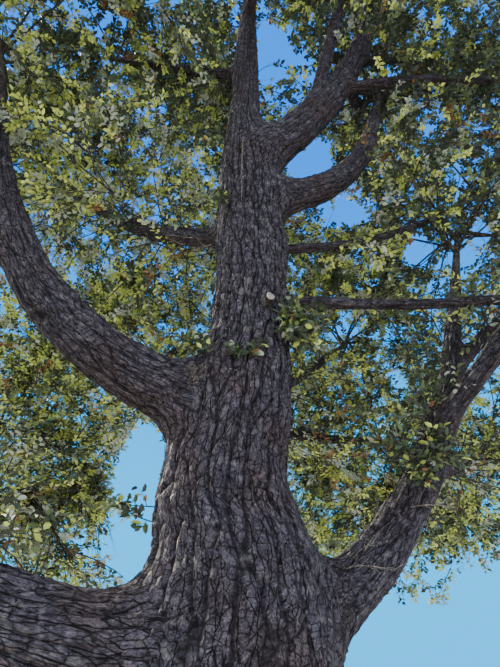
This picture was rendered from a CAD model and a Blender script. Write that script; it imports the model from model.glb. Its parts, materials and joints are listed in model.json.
"""A broad-crowned live oak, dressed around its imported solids.

Sizes are in metres and angles in degrees. X runs to the viewer's right, Y away from the viewer and
Z up, from the middle of the flat cut under the trunk. The limbs and the main twigs follow the same
rules as the solids; bark relief, finer twigs and leaves are grown on from them.
"""

import json
import logging
from collections.abc import Sequence
from dataclasses import dataclass, field, replace
from enum import Enum

import bpy
import numpy as np
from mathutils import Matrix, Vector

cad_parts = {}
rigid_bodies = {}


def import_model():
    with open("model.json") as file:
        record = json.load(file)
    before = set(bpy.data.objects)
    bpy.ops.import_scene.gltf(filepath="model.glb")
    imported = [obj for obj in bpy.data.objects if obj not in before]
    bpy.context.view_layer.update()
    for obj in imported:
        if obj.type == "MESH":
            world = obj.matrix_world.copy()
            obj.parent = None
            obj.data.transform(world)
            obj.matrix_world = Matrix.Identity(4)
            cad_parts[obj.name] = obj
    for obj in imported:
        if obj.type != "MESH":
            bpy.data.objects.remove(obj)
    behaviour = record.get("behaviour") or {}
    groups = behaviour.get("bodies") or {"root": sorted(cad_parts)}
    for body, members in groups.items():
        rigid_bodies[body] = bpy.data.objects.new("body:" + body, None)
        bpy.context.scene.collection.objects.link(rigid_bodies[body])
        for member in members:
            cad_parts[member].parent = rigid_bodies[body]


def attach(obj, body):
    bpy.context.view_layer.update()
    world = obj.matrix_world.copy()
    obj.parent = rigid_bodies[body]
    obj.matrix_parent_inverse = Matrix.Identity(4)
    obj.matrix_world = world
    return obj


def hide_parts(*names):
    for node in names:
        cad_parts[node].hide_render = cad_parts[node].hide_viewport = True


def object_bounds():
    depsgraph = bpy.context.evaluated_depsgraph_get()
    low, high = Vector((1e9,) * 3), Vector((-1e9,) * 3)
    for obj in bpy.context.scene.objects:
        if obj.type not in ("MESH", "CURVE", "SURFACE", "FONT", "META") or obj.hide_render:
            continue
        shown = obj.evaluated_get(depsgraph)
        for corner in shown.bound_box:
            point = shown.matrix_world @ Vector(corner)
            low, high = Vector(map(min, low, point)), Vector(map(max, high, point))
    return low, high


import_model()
CAD_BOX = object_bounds()

log = logging.getLogger("oak")

Array = np.ndarray
Chance = np.random.Generator
Material = bpy.types.Material
Piece = bpy.types.Object
Socket = bpy.types.NodeSocket

UP = np.array([0.0, 0.0, 1.0])
# Hardly off upright, so that no shoot runs along it
TILTED_UP = UP + 1e-3
GOLDEN_ANGLE = 137.508


# Skeleton


@dataclass(frozen=True)
class TrunkRow:
    """The trunk at one height: how far it leans to the right and away, and its radius."""

    height: float
    right: float
    away: float
    radius: float


@dataclass(frozen=True)
class Bough:
    """A limb that leaves its parent at a distance along it.

    Bearing (0 is right, 90 is away) and rise above level are where it starts out; turn and lift
    are the changes in both along its length.
    """

    name: str
    parent: str
    at: float
    length: float
    bearing: float
    turn: float
    rise: float
    lift: float
    radius: float
    tip: float


TRUNK = (
    TrunkRow(0.0, 0.0, 0.0, 0.62),
    TrunkRow(0.5, 0.0, 0.0, 0.57),
    TrunkRow(1.2, 0.015, 0.0, 0.56),
    TrunkRow(1.75, 0.03, 0.0, 0.575),
    TrunkRow(2.25, 0.015, 0.0, 0.55),
    TrunkRow(2.65, -0.08, 0.0, 0.49),
    TrunkRow(3.3, 0.0, 0.0, 0.42),
    TrunkRow(4.1, 0.1, 0.0, 0.355),
    TrunkRow(5.3, 0.11, 0.01, 0.355),
    TrunkRow(6.2, 0.1, 0.02, 0.33),
    TrunkRow(7.3, 0.03, 0.05, 0.215),
    TrunkRow(8.4, 0.04, 0.1, 0.185),
    TrunkRow(10.8, 0.07, 0.2, 0.125),
    TrunkRow(12.2, 0.18, 0.25, 0.06),
)
BOUGHS = (
    Bough("low_left_bough", "trunk", 1.72, 5.2, 193, -12, -3, 40, 0.33, 0.125),
    Bough("low_left_front_bough", "low_left_bough", 2.7, 4.3, 238, 14, 24, 26, 0.13, 0.06),
    Bough("low_left_back_bough", "low_left_bough", 1.7, 3.3, 124, -8, 32, 6, 0.115, 0.055),
    Bough("front_bough", "low_left_front_bough", 2.9, 4.1, 318, -10, 26, 6, 0.08, 0.05),
    Bough("left_bough", "trunk", 3.33, 5.2, 190, -3, 8, 68, 0.255, 0.13),
    Bough("left_outer_bough", "left_bough", 2.5, 3.4, 176, -8, 26, 24, 0.12, 0.06),
    Bough("left_front_bough", "left_bough", 4.3, 3.2, 236, 10, 30, 8, 0.1, 0.055),
    Bough("back_left_bough", "trunk", 5.38, 4.4, 150, 10, 17, 33, 0.121, 0.055),
    Bough("back_bough", "trunk", 5.6, 4.8, 94, -10, 30, 20, 0.17, 0.075),
    Bough("back_low_bough", "trunk", 3.7, 5.0, 90, -6, 10, 14, 0.17, 0.07),
    Bough("back_low_left_bough", "back_low_bough", 2.3, 3.3, 136, -8, 30, 10, 0.09, 0.05),
    Bough("back_low_right_bough", "back_low_bough", 2.5, 3.1, 42, 8, 4, 12, 0.09, 0.05),
    Bough("back_right_bough", "back_low_bough", 0.9, 3.4, 58, 0, 34, 6, 0.095, 0.05),
    Bough("low_right_bough", "trunk", 1.72, 4.7, 22, -11, 17, 57, 0.24, 0.06),
    Bough("low_right_outer_bough", "low_right_bough", 3.25, 2.9, 12, 0, 52, -20, 0.085, 0.05),
    Bough("low_right_front_bough", "low_right_bough", 2.7, 4.2, 312, -8, 34, 10, 0.105, 0.055),
    Bough("low_right_back_bough", "low_right_bough", 2.3, 3.3, 62, -12, 8, 16, 0.095, 0.05),
    Bough("right_bough", "trunk", 5.87, 3.1, 4, 25, 6, 68, 0.196, 0.084),
    Bough("fork_bough", "trunk", 6.54, 5.0, 4, 3, 45, 29, 0.249, 0.12),
    Bough("fork_inner_bough", "fork_bough", 1.3, 4.3, 330, 0, 74, 2, 0.105, 0.06),
    Bough("fork_low_bough", "fork_bough", 2.15, 3.7, -6, 30, 6, 12, 0.085, 0.05),
    Bough("fork_outer_bough", "fork_bough", 3.0, 3.1, 11, 8, 35, -19, 0.072, 0.045),
    Bough("fork_back_bough", "fork_bough", 2.5, 3.5, 62, -4, 32, 4, 0.095, 0.05),
    Bough("upper_right_branch", "trunk", 5.16, 3.8, 10, 20, 6, 38, 0.052, 0.036),
    Bough("lower_right_branch", "trunk", 4.56, 4.6, 350, 22, -19, 34, 0.058, 0.038),
    Bough("leader_front_bough", "trunk", 10.5, 3.7, 284, 0, 22, -34, 0.092, 0.05),
    Bough("leader_left_bough", "trunk", 8.7, 1.7, 170, 6, 20, 4, 0.09, 0.055),
    Bough("leader_back_bough", "trunk", 8.9, 3.2, 116, 0, 38, 6, 0.1, 0.055),
)


def direction(bearing: Array, rise: Array) -> Array:
    """Unit vectors, in the last axis, for bearings and rises in degrees."""
    b, r = np.radians(bearing), np.radians(rise)
    return np.stack([np.cos(b) * np.cos(r), np.sin(b) * np.cos(r), np.sin(r)], axis=-1)


def unit(vectors: Array) -> Array:
    """The vectors at a length of one."""
    return vectors / np.maximum(np.linalg.norm(vectors, axis=-1, keepdims=True), 1e-9)


def eased(low: float, high: float, x: Array) -> Array:
    """A smooth rise from 0 to 1 as x goes from low to high."""
    t = np.clip((x - low) / (high - low), 0.0, 1.0)
    return t * t * (3.0 - 2.0 * t)


def curve_through(xs: Array, ys: Array, x: Array) -> Array:
    """The values at x of a smooth curve through points.

    Args:
        xs: Where the points are, rising.
        ys: The points' values.
        x: Where to read the curve.

    Returns:
        The curve's values, one for each x.
    """
    last = len(xs) - 1
    i = np.clip(np.searchsorted(xs, x, side="left") - 1, 0, last - 1)
    before = np.maximum(np.arange(last + 1) - 1, 0)
    after = np.minimum(np.arange(last + 1) + 1, last)
    slopes = (ys[after] - ys[before]) / (xs[after] - xs[before])
    width = xs[i + 1] - xs[i]
    t = (x - xs[i]) / width
    enter = (t**3 - 2 * t**2 + t) * width * slopes[i]
    leave = (t**3 - t**2) * width * slopes[i + 1]
    blend = 3 * t**2 - 2 * t**3
    return (1 - blend) * ys[i] + blend * ys[i + 1] + enter + leave


@dataclass
class Join:
    """A limb that another one blends into, the reach of the blend and where it counts from."""

    other: "LimbPath"
    reach: float
    first: int
    middle: Array


@dataclass
class LimbPath:
    """A limb's axis, with its radius and heading at each step, and the limbs that join it."""

    name: str
    points: Array
    radii: Array
    headings: Array
    length: float
    joins: list[Join] = field(default_factory=list)

    def sample(self, shares: Array) -> tuple[Array, Array, Array]:
        """Axis, radius and heading at shares of the length.

        Args:
            shares: Numbers from 0 at the foot to 1 at the tip.

        Returns:
            Points, radii and unit headings.
        """
        steps = np.linspace(0.0, 1.0, len(self.points))

        def along(values: Array) -> Array:
            """The values at those shares."""
            return np.stack([np.interp(shares, steps, column) for column in values.T], axis=-1)

        return along(self.points), np.interp(shares, steps, self.radii), unit(along(self.headings))

    def square(self, headings: Array) -> tuple[Array, Array]:
        """The two ways that turns round the limb are counted by.

        Args:
            headings: Headings of the limb, one a row.

        Returns:
            The way at no turn and the way at a quarter turn, one a row.
        """
        if self.name == "trunk":
            side = np.tile([1.0, 0.0, 0.0], (len(headings), 1))
        else:
            side = unit(np.cross(headings, UP))
        return side, np.cross(headings, side)

    def distance_to(self, points: Array, first: int = 0, last: int | None = None) -> Array:
        """Distance from points to the limb's round surface.

        Args:
            points: The points, one a row.
            first: The first step of the axis that counts.
            last: The step after the last one that counts, or None for the whole limb.

        Returns:
            The least distance for each point, below zero inside the limb.
        """
        foot, end = self.points[first:-1][:last], self.points[first + 1 :][:last]
        thick, thin = self.radii[first:-1][:last], self.radii[first + 1 :][:last]
        along = end - foot
        offset = points[:, None, :] - foot[None]
        t = np.clip((offset * along).sum(-1) / (along**2).sum(-1), 0.0, 1.0)
        apart = np.linalg.norm(offset - t[..., None] * along, axis=-1)
        return (apart - (thick + (thin - thick) * t)).min(axis=1)


@dataclass
class Skeleton:
    """The trunk and boughs as paths, each bough grown from the axis of its parent."""

    trunk_steps: int = 72
    bough_steps: int = 24
    # Reach of the blend between two limbs, over the bough's radius
    blend: float = 1.35
    # The most that a blend swells a limb, over its reach, where a bough starts to swell
    # its parent, over the parent's radius, and how far off a blend counts, over its reach
    blend_limit: float = 0.3
    blend_start: float = 0.6
    blend_rim: float = 2.4
    blend_passes: int = 6
    # How far a surface draws back inside another limb, and over what depth
    sink: float = 0.03
    sink_over: float = 0.12
    limbs: dict[str, LimbPath] = field(init=False)

    def __post_init__(self) -> None:
        """Grows every limb and notes which ones blend."""
        self.limbs = {"trunk": self._trunk()}
        for spec in BOUGHS:
            parent = self.limbs[spec.parent]
            path = self._bough(spec, parent)
            thick = float(parent.sample(np.array([spec.at / parent.length]))[1][0])
            first = round(self.blend_start * thick / spec.length * self.bough_steps)
            reach = self.blend * spec.radius
            path.joins.append(Join(parent, reach, 0, path.points[0]))
            parent.joins.append(Join(path, reach, first, path.points[0]))
            self.limbs[spec.name] = path

    def _trunk(self) -> LimbPath:
        """The trunk's path.

        Returns:
            The path, with level rings.
        """
        heights = np.array([row.height for row in TRUNK])
        at = np.linspace(0.0, heights[-1], self.trunk_steps + 1)
        right, away, radii = (
            curve_through(heights, np.array([getattr(row, key) for row in TRUNK]), at)
            for key in ("right", "away", "radius")
        )
        headings = np.tile(UP, (len(at), 1))
        return LimbPath("trunk", np.stack([right, away, at], -1), radii, headings, heights[-1])

    def _bough(self, spec: Bough, parent: LimbPath) -> LimbPath:
        """One bough's path.

        Args:
            spec: The bough's sizes.
            parent: The limb that it leaves.

        Returns:
            The path, which turns up early and then straightens.
        """
        steps = self.bough_steps

        def heading(share: Array) -> Array:
            """The way that the bough goes at shares of its length."""
            early = 2 * share - share**2
            return direction(spec.bearing + spec.turn * share, spec.rise + spec.lift * early)

        foot = parent.sample(np.array([spec.at / parent.length]))[0]
        strides = heading((np.arange(steps) + 0.5) / steps) * spec.length / steps
        points = np.concatenate([foot, foot + np.cumsum(strides, axis=0)])
        radii = np.linspace(spec.radius, spec.tip, steps + 1)
        headings = heading(np.linspace(0.0, 1.0, steps + 1))
        return LimbPath(spec.name, points, radii, headings, spec.length)

    def swelling(self, path: LimbPath, axis: Array, outward: Array, bare: Array) -> Array:
        """How far a limb's surface moves out, so that it blends with the limbs that join it.

        Args:
            path: The limb.
            axis: The point on its axis for each vertex.
            outward: The way out from the axis.
            bare: The radius without swelling.

        Returns:
            The move for each vertex, less a little wherever the other limb's surface is the
            outer one.
        """
        push = np.zeros(len(axis))
        windows = []
        for join in path.joins:
            rim = join.reach * self.blend_rim + bare.max()
            near = np.linalg.norm(axis + outward * bare[:, None] - join.middle, axis=-1) < rim
            step = join.other.length / (len(join.other.points) - 1)
            offsets = np.linalg.norm(join.other.points - join.middle, axis=-1)
            close = np.flatnonzero(offsets < rim + step + join.reach)
            first = max(join.first, int(close.min()))
            windows.append((join, np.flatnonzero(near), first, int(close.max()) - first + 1))
        for _ in range(self.blend_passes):
            held = axis + outward * (bare + push)[:, None]
            for join, near, first, count in windows:
                gap = join.other.distance_to(held[near], first, count)
                own = push[near]
                close = np.maximum(join.reach - np.abs(own - gap), 0.0) / join.reach
                union = np.minimum(own, gap) - close**2 * join.reach / 4
                most = np.maximum(own, self.blend_limit * join.reach)
                push[near] = np.clip(own - union, own, most)
        held = axis + outward * (bare + push)[:, None]
        sunk = np.zeros(len(axis))
        for join, near, first, count in windows:
            gap = join.other.distance_to(held[near], first, count)
            deep = eased(0.0, self.sink_over, push[near] - gap)
            sunk[near] = np.maximum(sunk[near], self.sink * deep)
        return push - sunk


# Patterns


def scattered(*parts: Array) -> Array:
    """A repeatable number from 0 to 1 for each set of whole numbers.

    Args:
        *parts: The numbers of the sets, one array for each place in a set.

    Returns:
        One number for each set.
    """
    shape = np.broadcast(*parts).shape
    mixed = np.full(shape, 0x9E3779B97F4A7C15, np.uint64)
    for part in parts:
        mixed = (mixed ^ np.asarray(part).astype(np.int64).view(np.uint64)) * np.uint64(
            0xBF58476D1CE4E5B9
        )
        mixed ^= mixed >> np.uint64(29)
    mixed = mixed * np.uint64(0x94D049BB133111EB)
    mixed ^= mixed >> np.uint64(32)
    return (mixed & np.uint64(0xFFFFFFFF)).astype(float) / 2**32


def noise(points: Array, seed: int) -> Array:
    """Smooth noise from -1 to 1 in space.

    Args:
        points: The points, in units of the noise's size.
        seed: Which noise.

    Returns:
        One value for each point.
    """
    cell = np.floor(points).astype(np.int64)
    t = points - cell
    t = t * t * t * (t * (6 * t - 15) + 10)
    total = np.zeros(len(points))
    for corner in np.ndindex(2, 2, 2):
        at = cell + np.array(corner)
        weight = np.prod(np.where(np.array(corner) == 1, t, 1 - t), axis=-1)
        total += weight * scattered(at[:, 0], at[:, 1], at[:, 2], np.array(seed))
    return 2 * total - 1


def even_points(count: int, random: Chance) -> Array:
    """Points spread evenly through a cube of side one, from a shifted additive sequence."""
    step = 1.2207440846057596 ** -np.array([1.0, 2.0, 3.0])
    return (random.uniform(size=3) + np.arange(1, count + 1)[:, None] * step) % 1.0


@dataclass(frozen=True)
class PlatePattern:
    """Plates of bark laid round a limb, with furrows between them.

    Attributes:
        width: A plate's width round the limb.
        height: Its height along the limb.
        furrow: A furrow's width.
        jitter: How far plates stray from even rows, from 0 to 1.
        seed: Which layout.
    """

    width: float
    height: float
    furrow: float
    jitter: float
    seed: int

    def lay(self, girth: float, around: Array, along: Array) -> tuple[Array, Array]:
        """Where the furrows run and which plate each point is on.

        Args:
            girth: The distance round the limb.
            around: Turns round the limb, from 0 to 1.
            along: Metres along the limb.

        Returns:
            The furrow at each point, from 0 on a plate to 1, and the plate's own number from
            0 to 1.
        """
        columns = max(5, round(girth / self.width))
        size = np.array([girth / columns, self.height])
        at = np.stack([around * columns, along / self.height], axis=-1)
        cell = np.floor(at).astype(np.int64)
        nearest, second = np.full((2, len(at)), 9.0)
        first_middle, second_middle = np.zeros((2, len(at), 2))
        plate = np.zeros(len(at))
        for shift in np.ndindex(3, 3):
            here = cell + np.array(shift) - 1
            key = (np.mod(here[:, 0], columns), here[:, 1], np.array(self.seed))
            stray = np.stack([scattered(*key, np.array(1)), scattered(*key, np.array(2))], -1)
            middle = here + 0.5 + self.jitter * (stray - 0.5)
            apart = np.linalg.norm(at - middle, axis=-1)
            closer, next_closer = apart < nearest, apart < second
            second = np.where(closer, nearest, np.where(next_closer, apart, second))
            follows = np.where(next_closer[:, None], middle, second_middle)
            second_middle = np.where(closer[:, None], first_middle, follows)
            nearest = np.where(closer, apart, nearest)
            first_middle = np.where(closer[:, None], middle, first_middle)
            plate = np.where(closer, scattered(*key, np.array(3)), plate)
        across = unit(second_middle - first_middle) / size
        edge = (second - nearest) / 2 / np.linalg.norm(across, axis=-1)
        return 1.0 - eased(0.0, self.furrow / 2, edge), plate


# Meshes


def make_mesh(
    name: str, vertices: Array, faces: list[Array], slots: list[Array] | None = None
) -> Piece:
    """An object from arrays.

    Args:
        name: The piece's name.
        vertices: Points, one a row.
        faces: Arrays of faces, each with the same number of corners in every row.
        slots: The material slot of each face, in arrays like the faces', or None.

    Returns:
        The object, linked to the scene and riding on the tree.
    """
    mesh = bpy.data.meshes.new(name)
    corners = np.concatenate([block.ravel() for block in faces]).astype(np.int32)
    sizes = np.concatenate([np.full(len(block), block.shape[1]) for block in faces])
    starts = np.concatenate([[0], np.cumsum(sizes)[:-1]]).astype(np.int32)
    mesh.vertices.add(len(vertices))
    mesh.vertices.foreach_set("co", vertices.astype(np.float32).ravel())
    mesh.loops.add(len(corners))
    mesh.loops.foreach_set("vertex_index", corners)
    mesh.polygons.add(len(sizes))
    mesh.polygons.foreach_set("loop_start", starts)
    if slots is not None:
        mesh.polygons.foreach_set("material_index", np.concatenate(slots).astype(np.int32))
    mesh.update(calc_edges=True)
    mesh.validate()
    piece = bpy.data.objects.new(name, mesh)
    bpy.context.scene.collection.objects.link(piece)
    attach(piece, "root")
    return piece


def keep(piece: Piece, name: str, kind: str, key: str, values: Array) -> None:
    """Keeps values for the vertices of a piece, by kind and key, for its material to read."""
    layer = piece.data.attributes.new(name, kind, "POINT")
    layer.data.foreach_set(key, values.astype(np.float32).ravel())


def dress(piece: Piece, nodes: Sequence[str], materials: Sequence[Material]) -> None:
    """Gives a piece its materials, says which solids it stands for, and reports it.

    Args:
        piece: The piece.
        nodes: The solids that it takes the place of.
        materials: Its materials.
    """
    for material in materials:
        piece.data.materials.append(material)
    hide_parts(*nodes)
    triangles = len(piece.data.loops) - 2 * len(piece.data.polygons)
    log.info("%s: %d triangles", piece.name, triangles)


def swung(side: Array, over: Array, turn: Array) -> Array:
    """Vectors swung from side towards over by turns in radians."""
    return side * np.cos(turn)[..., None] + over * np.sin(turn)[..., None]


def fanned(heading: Array, turn: Array, splay: Array) -> Array:
    """Ways that leave a heading at an angle, splay, each one turned round it, in radians.

    Args:
        heading: The headings.
        turn: How far round the heading each way is.
        splay: How far from it each way is, with one more axis.

    Returns:
        The ways.
    """
    side = unit(np.cross(heading, TILTED_UP))
    way = swung(side, np.cross(side, heading), turn)
    return heading * np.cos(splay) + way * np.sin(splay)


def ring_faces(rings: int, sides: int) -> Array:
    """The four-cornered faces between rings of vertices.

    Args:
        rings: How many rings there are.
        sides: Vertices in each ring.

    Returns:
        The corners of the faces, one face a row.
    """
    ring, side = np.meshgrid(np.arange(rings - 1), np.arange(sides), indexing="ij")
    here = ring * sides + side
    beside = ring * sides + (side + 1) % sides
    return np.stack([here, beside, beside + sides, here + sides], -1).reshape(-1, 4)


def fan_faces(first: int, sides: int, tip: int) -> Array:
    """The three-cornered faces from a ring, whose first vertex is given, to a tip."""
    rim = np.arange(sides)
    return np.stack([first + rim, first + (rim + 1) % sides, np.full(sides, tip)], -1)


def tubes(paths: Array, radii: Array, sides: int) -> tuple[Array, list[Array]]:
    """Tapered tubes that each end in a point.

    Args:
        paths: The tubes' axes: tubes, steps and three coordinates.
        radii: The radius at each step but the last.
        sides: Sides of each tube.

    Returns:
        Vertices, and the four- and three-cornered faces.
    """
    count, steps, _ = paths.shape
    along = unit(np.gradient(paths, axis=1))
    mean = unit(paths[:, -1] - paths[:, 0])
    steep = np.abs(mean[:, 2:]) > 0.9
    reference = np.where(steep, np.array([1.0, 0.0, 0.0]), UP)[:, None, :]
    side = unit(np.cross(along, reference))
    over = np.cross(side, along)
    angle = np.arange(sides) * 2 * np.pi / sides
    spokes = swung(side[:, :-1, None, :], over[:, :-1, None, :], angle)
    rings = paths[:, :-1, None, :] + spokes * radii[:, :, None, None]
    bodies = np.concatenate([rings.reshape(count, -1, 3), paths[:, -1:, :]], axis=1)
    each = bodies.shape[1]
    shift = (np.arange(count) * each)[:, None, None]
    blocks = []
    if steps > 2:
        blocks.append((ring_faces(steps - 1, sides)[None] + shift).reshape(-1, 4))
    cap = fan_faces((steps - 2) * sides, sides, each - 1)
    blocks.append((cap[None] + shift).reshape(-1, 3))
    return bodies.reshape(-1, 3), blocks


# Bark


@dataclass(frozen=True)
class Spacing:
    """How finely a limb is meshed: round it, and along it at its foot and at its tip."""

    around: float
    foot: float
    tip: float


@dataclass(frozen=True)
class BarkRelief:
    """Plated bark: long fissures, plates between them, lumps and grain."""

    # Long fissures, as the gaps between tall plates, and smaller plates between them
    fissures: PlatePattern = PlatePattern(0.1, 0.62, 0.032, 0.85, 11)
    plates: PlatePattern = PlatePattern(0.06, 0.1, 0.028, 0.9, 23)
    fissure_depth: float = 0.02
    plate_depth: float = 0.007
    plate_step: float = 0.015
    lump_size: float = 0.42
    lump_height: float = 0.017
    grain: float = 0.003
    grain_size: float = 0.021
    # The radius from which the relief has its full depth
    full_radius: float = 0.3
    # How far fissures stray, and the size of their bends round the limb and along it
    wander: float = 0.02
    wander_sizes: tuple[float, float] = (0.17, 0.2)
    # How much flatter small plates are at the trunk's foot, up to where, and over
    # what height that passes
    trunk_foot: tuple[float, float, float] = (0.66, 2.8, 0.8)
    # How much longer they are on boughs
    drawn_out: float = 1.5
    # The heaviest bough, how much larger they are there and how much longer again, and
    # how much fainter its fissures are
    heavy: str = "low_left_bough"
    coarse: tuple[float, float] = (1.1, 1.4)
    calm: float = 0.6

    def carve(
        self, path: LimbPath, surface: Array, around: Array, along: Array, radius: Array
    ) -> tuple[Array, Array]:
        """The relief of the bark on a limb.

        Args:
            path: The limb.
            surface: Points on the smooth surface.
            around: Turns round the limb, from 0 to 1.
            along: Metres along it.
            radius: The limb's radius at each point.

        Returns:
            How far each point moves out, and its fissure from 0 to 1.
        """
        girth = 2 * np.pi * float(np.median(path.radii))
        turned = around + self.wander * noise(surface / self.wander_sizes[0], 3) / girth
        moved = along + self.wander * noise(surface / self.wander_sizes[1], 5)
        coarse, height = self.fissures.lay(girth, turned, moved)
        fine, step = self.plates.lay(girth, turned, moved)
        scale = np.clip(radius / self.full_radius, 0.0, 1.0) ** 0.8
        half = self.lump_size / 2.3
        lumps = noise(surface / self.lump_size, 7) + 0.5 * noise(surface / half, 9)
        raised = self.plate_step * (step - 0.5) * (1 - fine) + self.plate_step * (height - 0.5)
        grain = self.grain * noise(surface / self.grain_size, 13)
        out = raised + grain - self.fissure_depth * coarse - self.plate_depth * fine
        calm = self.calm if path.name == self.heavy else 1.0
        return scale * (out + self.lump_height * lumps), coarse * calm

    def lie(self, path: LimbPath, around: Array, along: Array, radius: Array) -> Array:
        """Where each ring of points lies on a straight copy of the limb.

        The copy is drawn in a scale in which the small plates are alike everywhere.

        Args:
            path: The limb.
            around: Turns round the limb, from 0 to 1, one row a ring.
            along: Metres along it, one a ring.
            radius: The limb's radius at each point, one row a ring.

        Returns:
            The points, one row each.
        """
        size = np.clip(path.sample(along / path.length)[1] / self.full_radius, 0.3, 1.2) ** 0.5
        if path.name == "trunk":
            foot, top, over = self.trunk_foot
            long = size * (foot + (1 - foot) * eased(top - over, top, along))
        else:
            larger, longer = self.coarse if path.name == self.heavy else (1.0, 1.0)
            size = size * larger
            long = size * self.drawn_out * longer
        steps = np.diff(along, prepend=0.0) / long
        rows = np.broadcast_to(np.cumsum(steps)[:, None], around.shape)
        turn = 2 * np.pi * around
        reach = radius / size[:, None]
        return np.stack([np.cos(turn) * reach, np.sin(turn) * reach, rows], -1).reshape(-1, 3)


@dataclass
class Limbs:
    """The trunk and boughs, each one a closed skin of bark over its path."""

    skeleton: Skeleton
    finish: "BarkFinish"
    relief: BarkRelief = BarkRelief()
    # Roots that swell the foot of the trunk, by a share of its radius, up to a height
    root_count: int = 6
    root_swell: float = 0.34
    root_height: float = 0.52
    root_turn: float = 20.0
    # Vertices in a ring of the trunk, and how much closer they are in front
    trunk_sides: int = 236
    trunk_front: float = 0.3
    # Heights, and the spacing of rings up to each
    trunk_rings: tuple[tuple[float, float], ...] = (
        (1.3, 0.034),
        (4.6, 0.016),
        (6.7, 0.023),
        (9.6, 0.05),
        (12.2, 0.1),
    )
    # Spacing of vertices on the main boughs and on the others
    fine: Spacing = Spacing(0.0125, 0.016, 0.05)
    plain: Spacing = Spacing(0.019, 0.028, 0.065)
    fine_limbs: tuple[str, ...] = ("low_left_bough", "left_bough", "low_right_bough")
    fewest_sides: int = 16

    def build(self) -> None:
        """Makes every limb."""
        material = self.finish.material()
        for path in self.skeleton.limbs.values():
            dress(self._limb(path), (path.name,), (material,))

    def _stations(self, path: LimbPath) -> tuple[Array, Array]:
        """Where a limb's vertices are.

        Args:
            path: The limb.

        Returns:
            Its rings, in metres along it, and the turns round it, from 0 to 1.
        """
        if path.name == "trunk":
            stops, foot = [], 0.0
            for top, gap in self.trunk_rings:
                stops.append(np.arange(foot, top - gap / 2, gap))
                foot = top
            even = np.arange(self.trunk_sides) / self.trunk_sides
            turns = even - self.trunk_front * np.cos(2 * np.pi * even) / (2 * np.pi)
            return np.append(np.concatenate(stops), path.length), turns
        spacing = self.fine if path.name in self.fine_limbs else self.plain
        sides = max(self.fewest_sides, round(2 * np.pi * path.radii[0] / spacing.around))
        stops = [0.0]
        while stops[-1] < path.length:
            share = stops[-1] / path.length
            stops.append(stops[-1] + spacing.foot + (spacing.tip - spacing.foot) * share)
        return np.array(stops) * path.length / stops[-1], np.arange(sides) / sides

    def _root_factor(self, path: LimbPath, height: Array, angle: Array) -> Array:
        """The roots' swelling at the foot of the trunk.

        Args:
            path: The limb.
            height: Heights above the ground.
            angle: Angles round the trunk.

        Returns:
            What the radius is multiplied by.
        """
        if path.name != "trunk":
            return np.ones(len(height))
        lobe = 0.5 + 0.5 * np.cos(self.root_count * angle + np.radians(self.root_turn))
        return 1 + self.root_swell * lobe * np.exp(-((height / self.root_height) ** 2))

    def _limb(self, path: LimbPath) -> Piece:
        """One limb's skin.

        Args:
            path: The limb.

        Returns:
            The piece, with its fissures and its lie kept for the material.
        """
        stations, turns = self._stations(path)
        rings, sides = len(stations), len(turns)
        points, radii, headings = path.sample(stations / path.length)
        side, over = path.square(headings)
        around = np.tile(turns, rings)
        angle = 2 * np.pi * around
        ring = np.repeat(np.arange(rings), sides)
        outward = swung(side[ring], over[ring], angle)
        axis, along = points[ring], stations[ring]
        bare = radii[ring] * self._root_factor(path, axis[:, 2], angle)
        smooth = bare + self.skeleton.swelling(path, axis, outward, bare)
        surface = axis + outward * smooth[:, None]
        out, fissure = self.relief.carve(path, surface, around, along, radii[ring])
        shape = (rings, sides)
        lie = self.relief.lie(path, around.reshape(shape), stations, smooth.reshape(shape))
        vertices = np.concatenate([surface + outward * out[:, None], points[[0, -1]]])
        foot, tip = rings * sides, rings * sides + 1
        foot_fan = fan_faces(0, sides, foot)[:, [1, 0, 2]]
        tip_fan = fan_faces(foot - sides, sides, tip)
        faces = [ring_faces(rings, sides), np.concatenate([foot_fan, tip_fan])]
        piece = make_mesh(f"{path.name}_bark", vertices, faces)
        keep(piece, "fissure", "FLOAT", "value", np.append(fissure, [0.5, 0.5]))
        keep(piece, "lie", "FLOAT_VECTOR", "vector", np.concatenate([lie, lie[[0, -1]]]))
        piece.data.shade_smooth()
        return piece


# Foliage


class Region(Enum):
    """Parts of the crown, each one made as a piece of twigs and a piece of leaves."""

    LOW_LEFT = "low_left"
    LEFT = "left"
    BACK = "back"
    LOW_RIGHT = "low_right"
    FORK = "fork"
    TOP = "top"


@dataclass(frozen=True)
class MassSpec:
    """A foliage mass on the end of a limb.

    Attributes:
        limb: The limb whose end carries it.
        radius: The radius of its space.
        reach: How far its middle is from the limb's tip.
        region: The part of the crown that it belongs to.
        fullness: How thickly it is filled with twigs.
        along: How far from the limb its twigs reach back along it.
        droop: How much further than its space its twigs hang down.
        light: How much brighter its leaves are than those of the others.
    """

    limb: str
    radius: float
    reach: float
    region: Region
    fullness: float
    along: float
    droop: float
    light: float

    @property
    def name(self) -> str:
        """The mass's name, after its limb's."""
        stem = self.limb.removesuffix("_bough").removesuffix("_branch")
        return f"{stem}_mass" if stem != "trunk" else "crown_top_mass"


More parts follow.
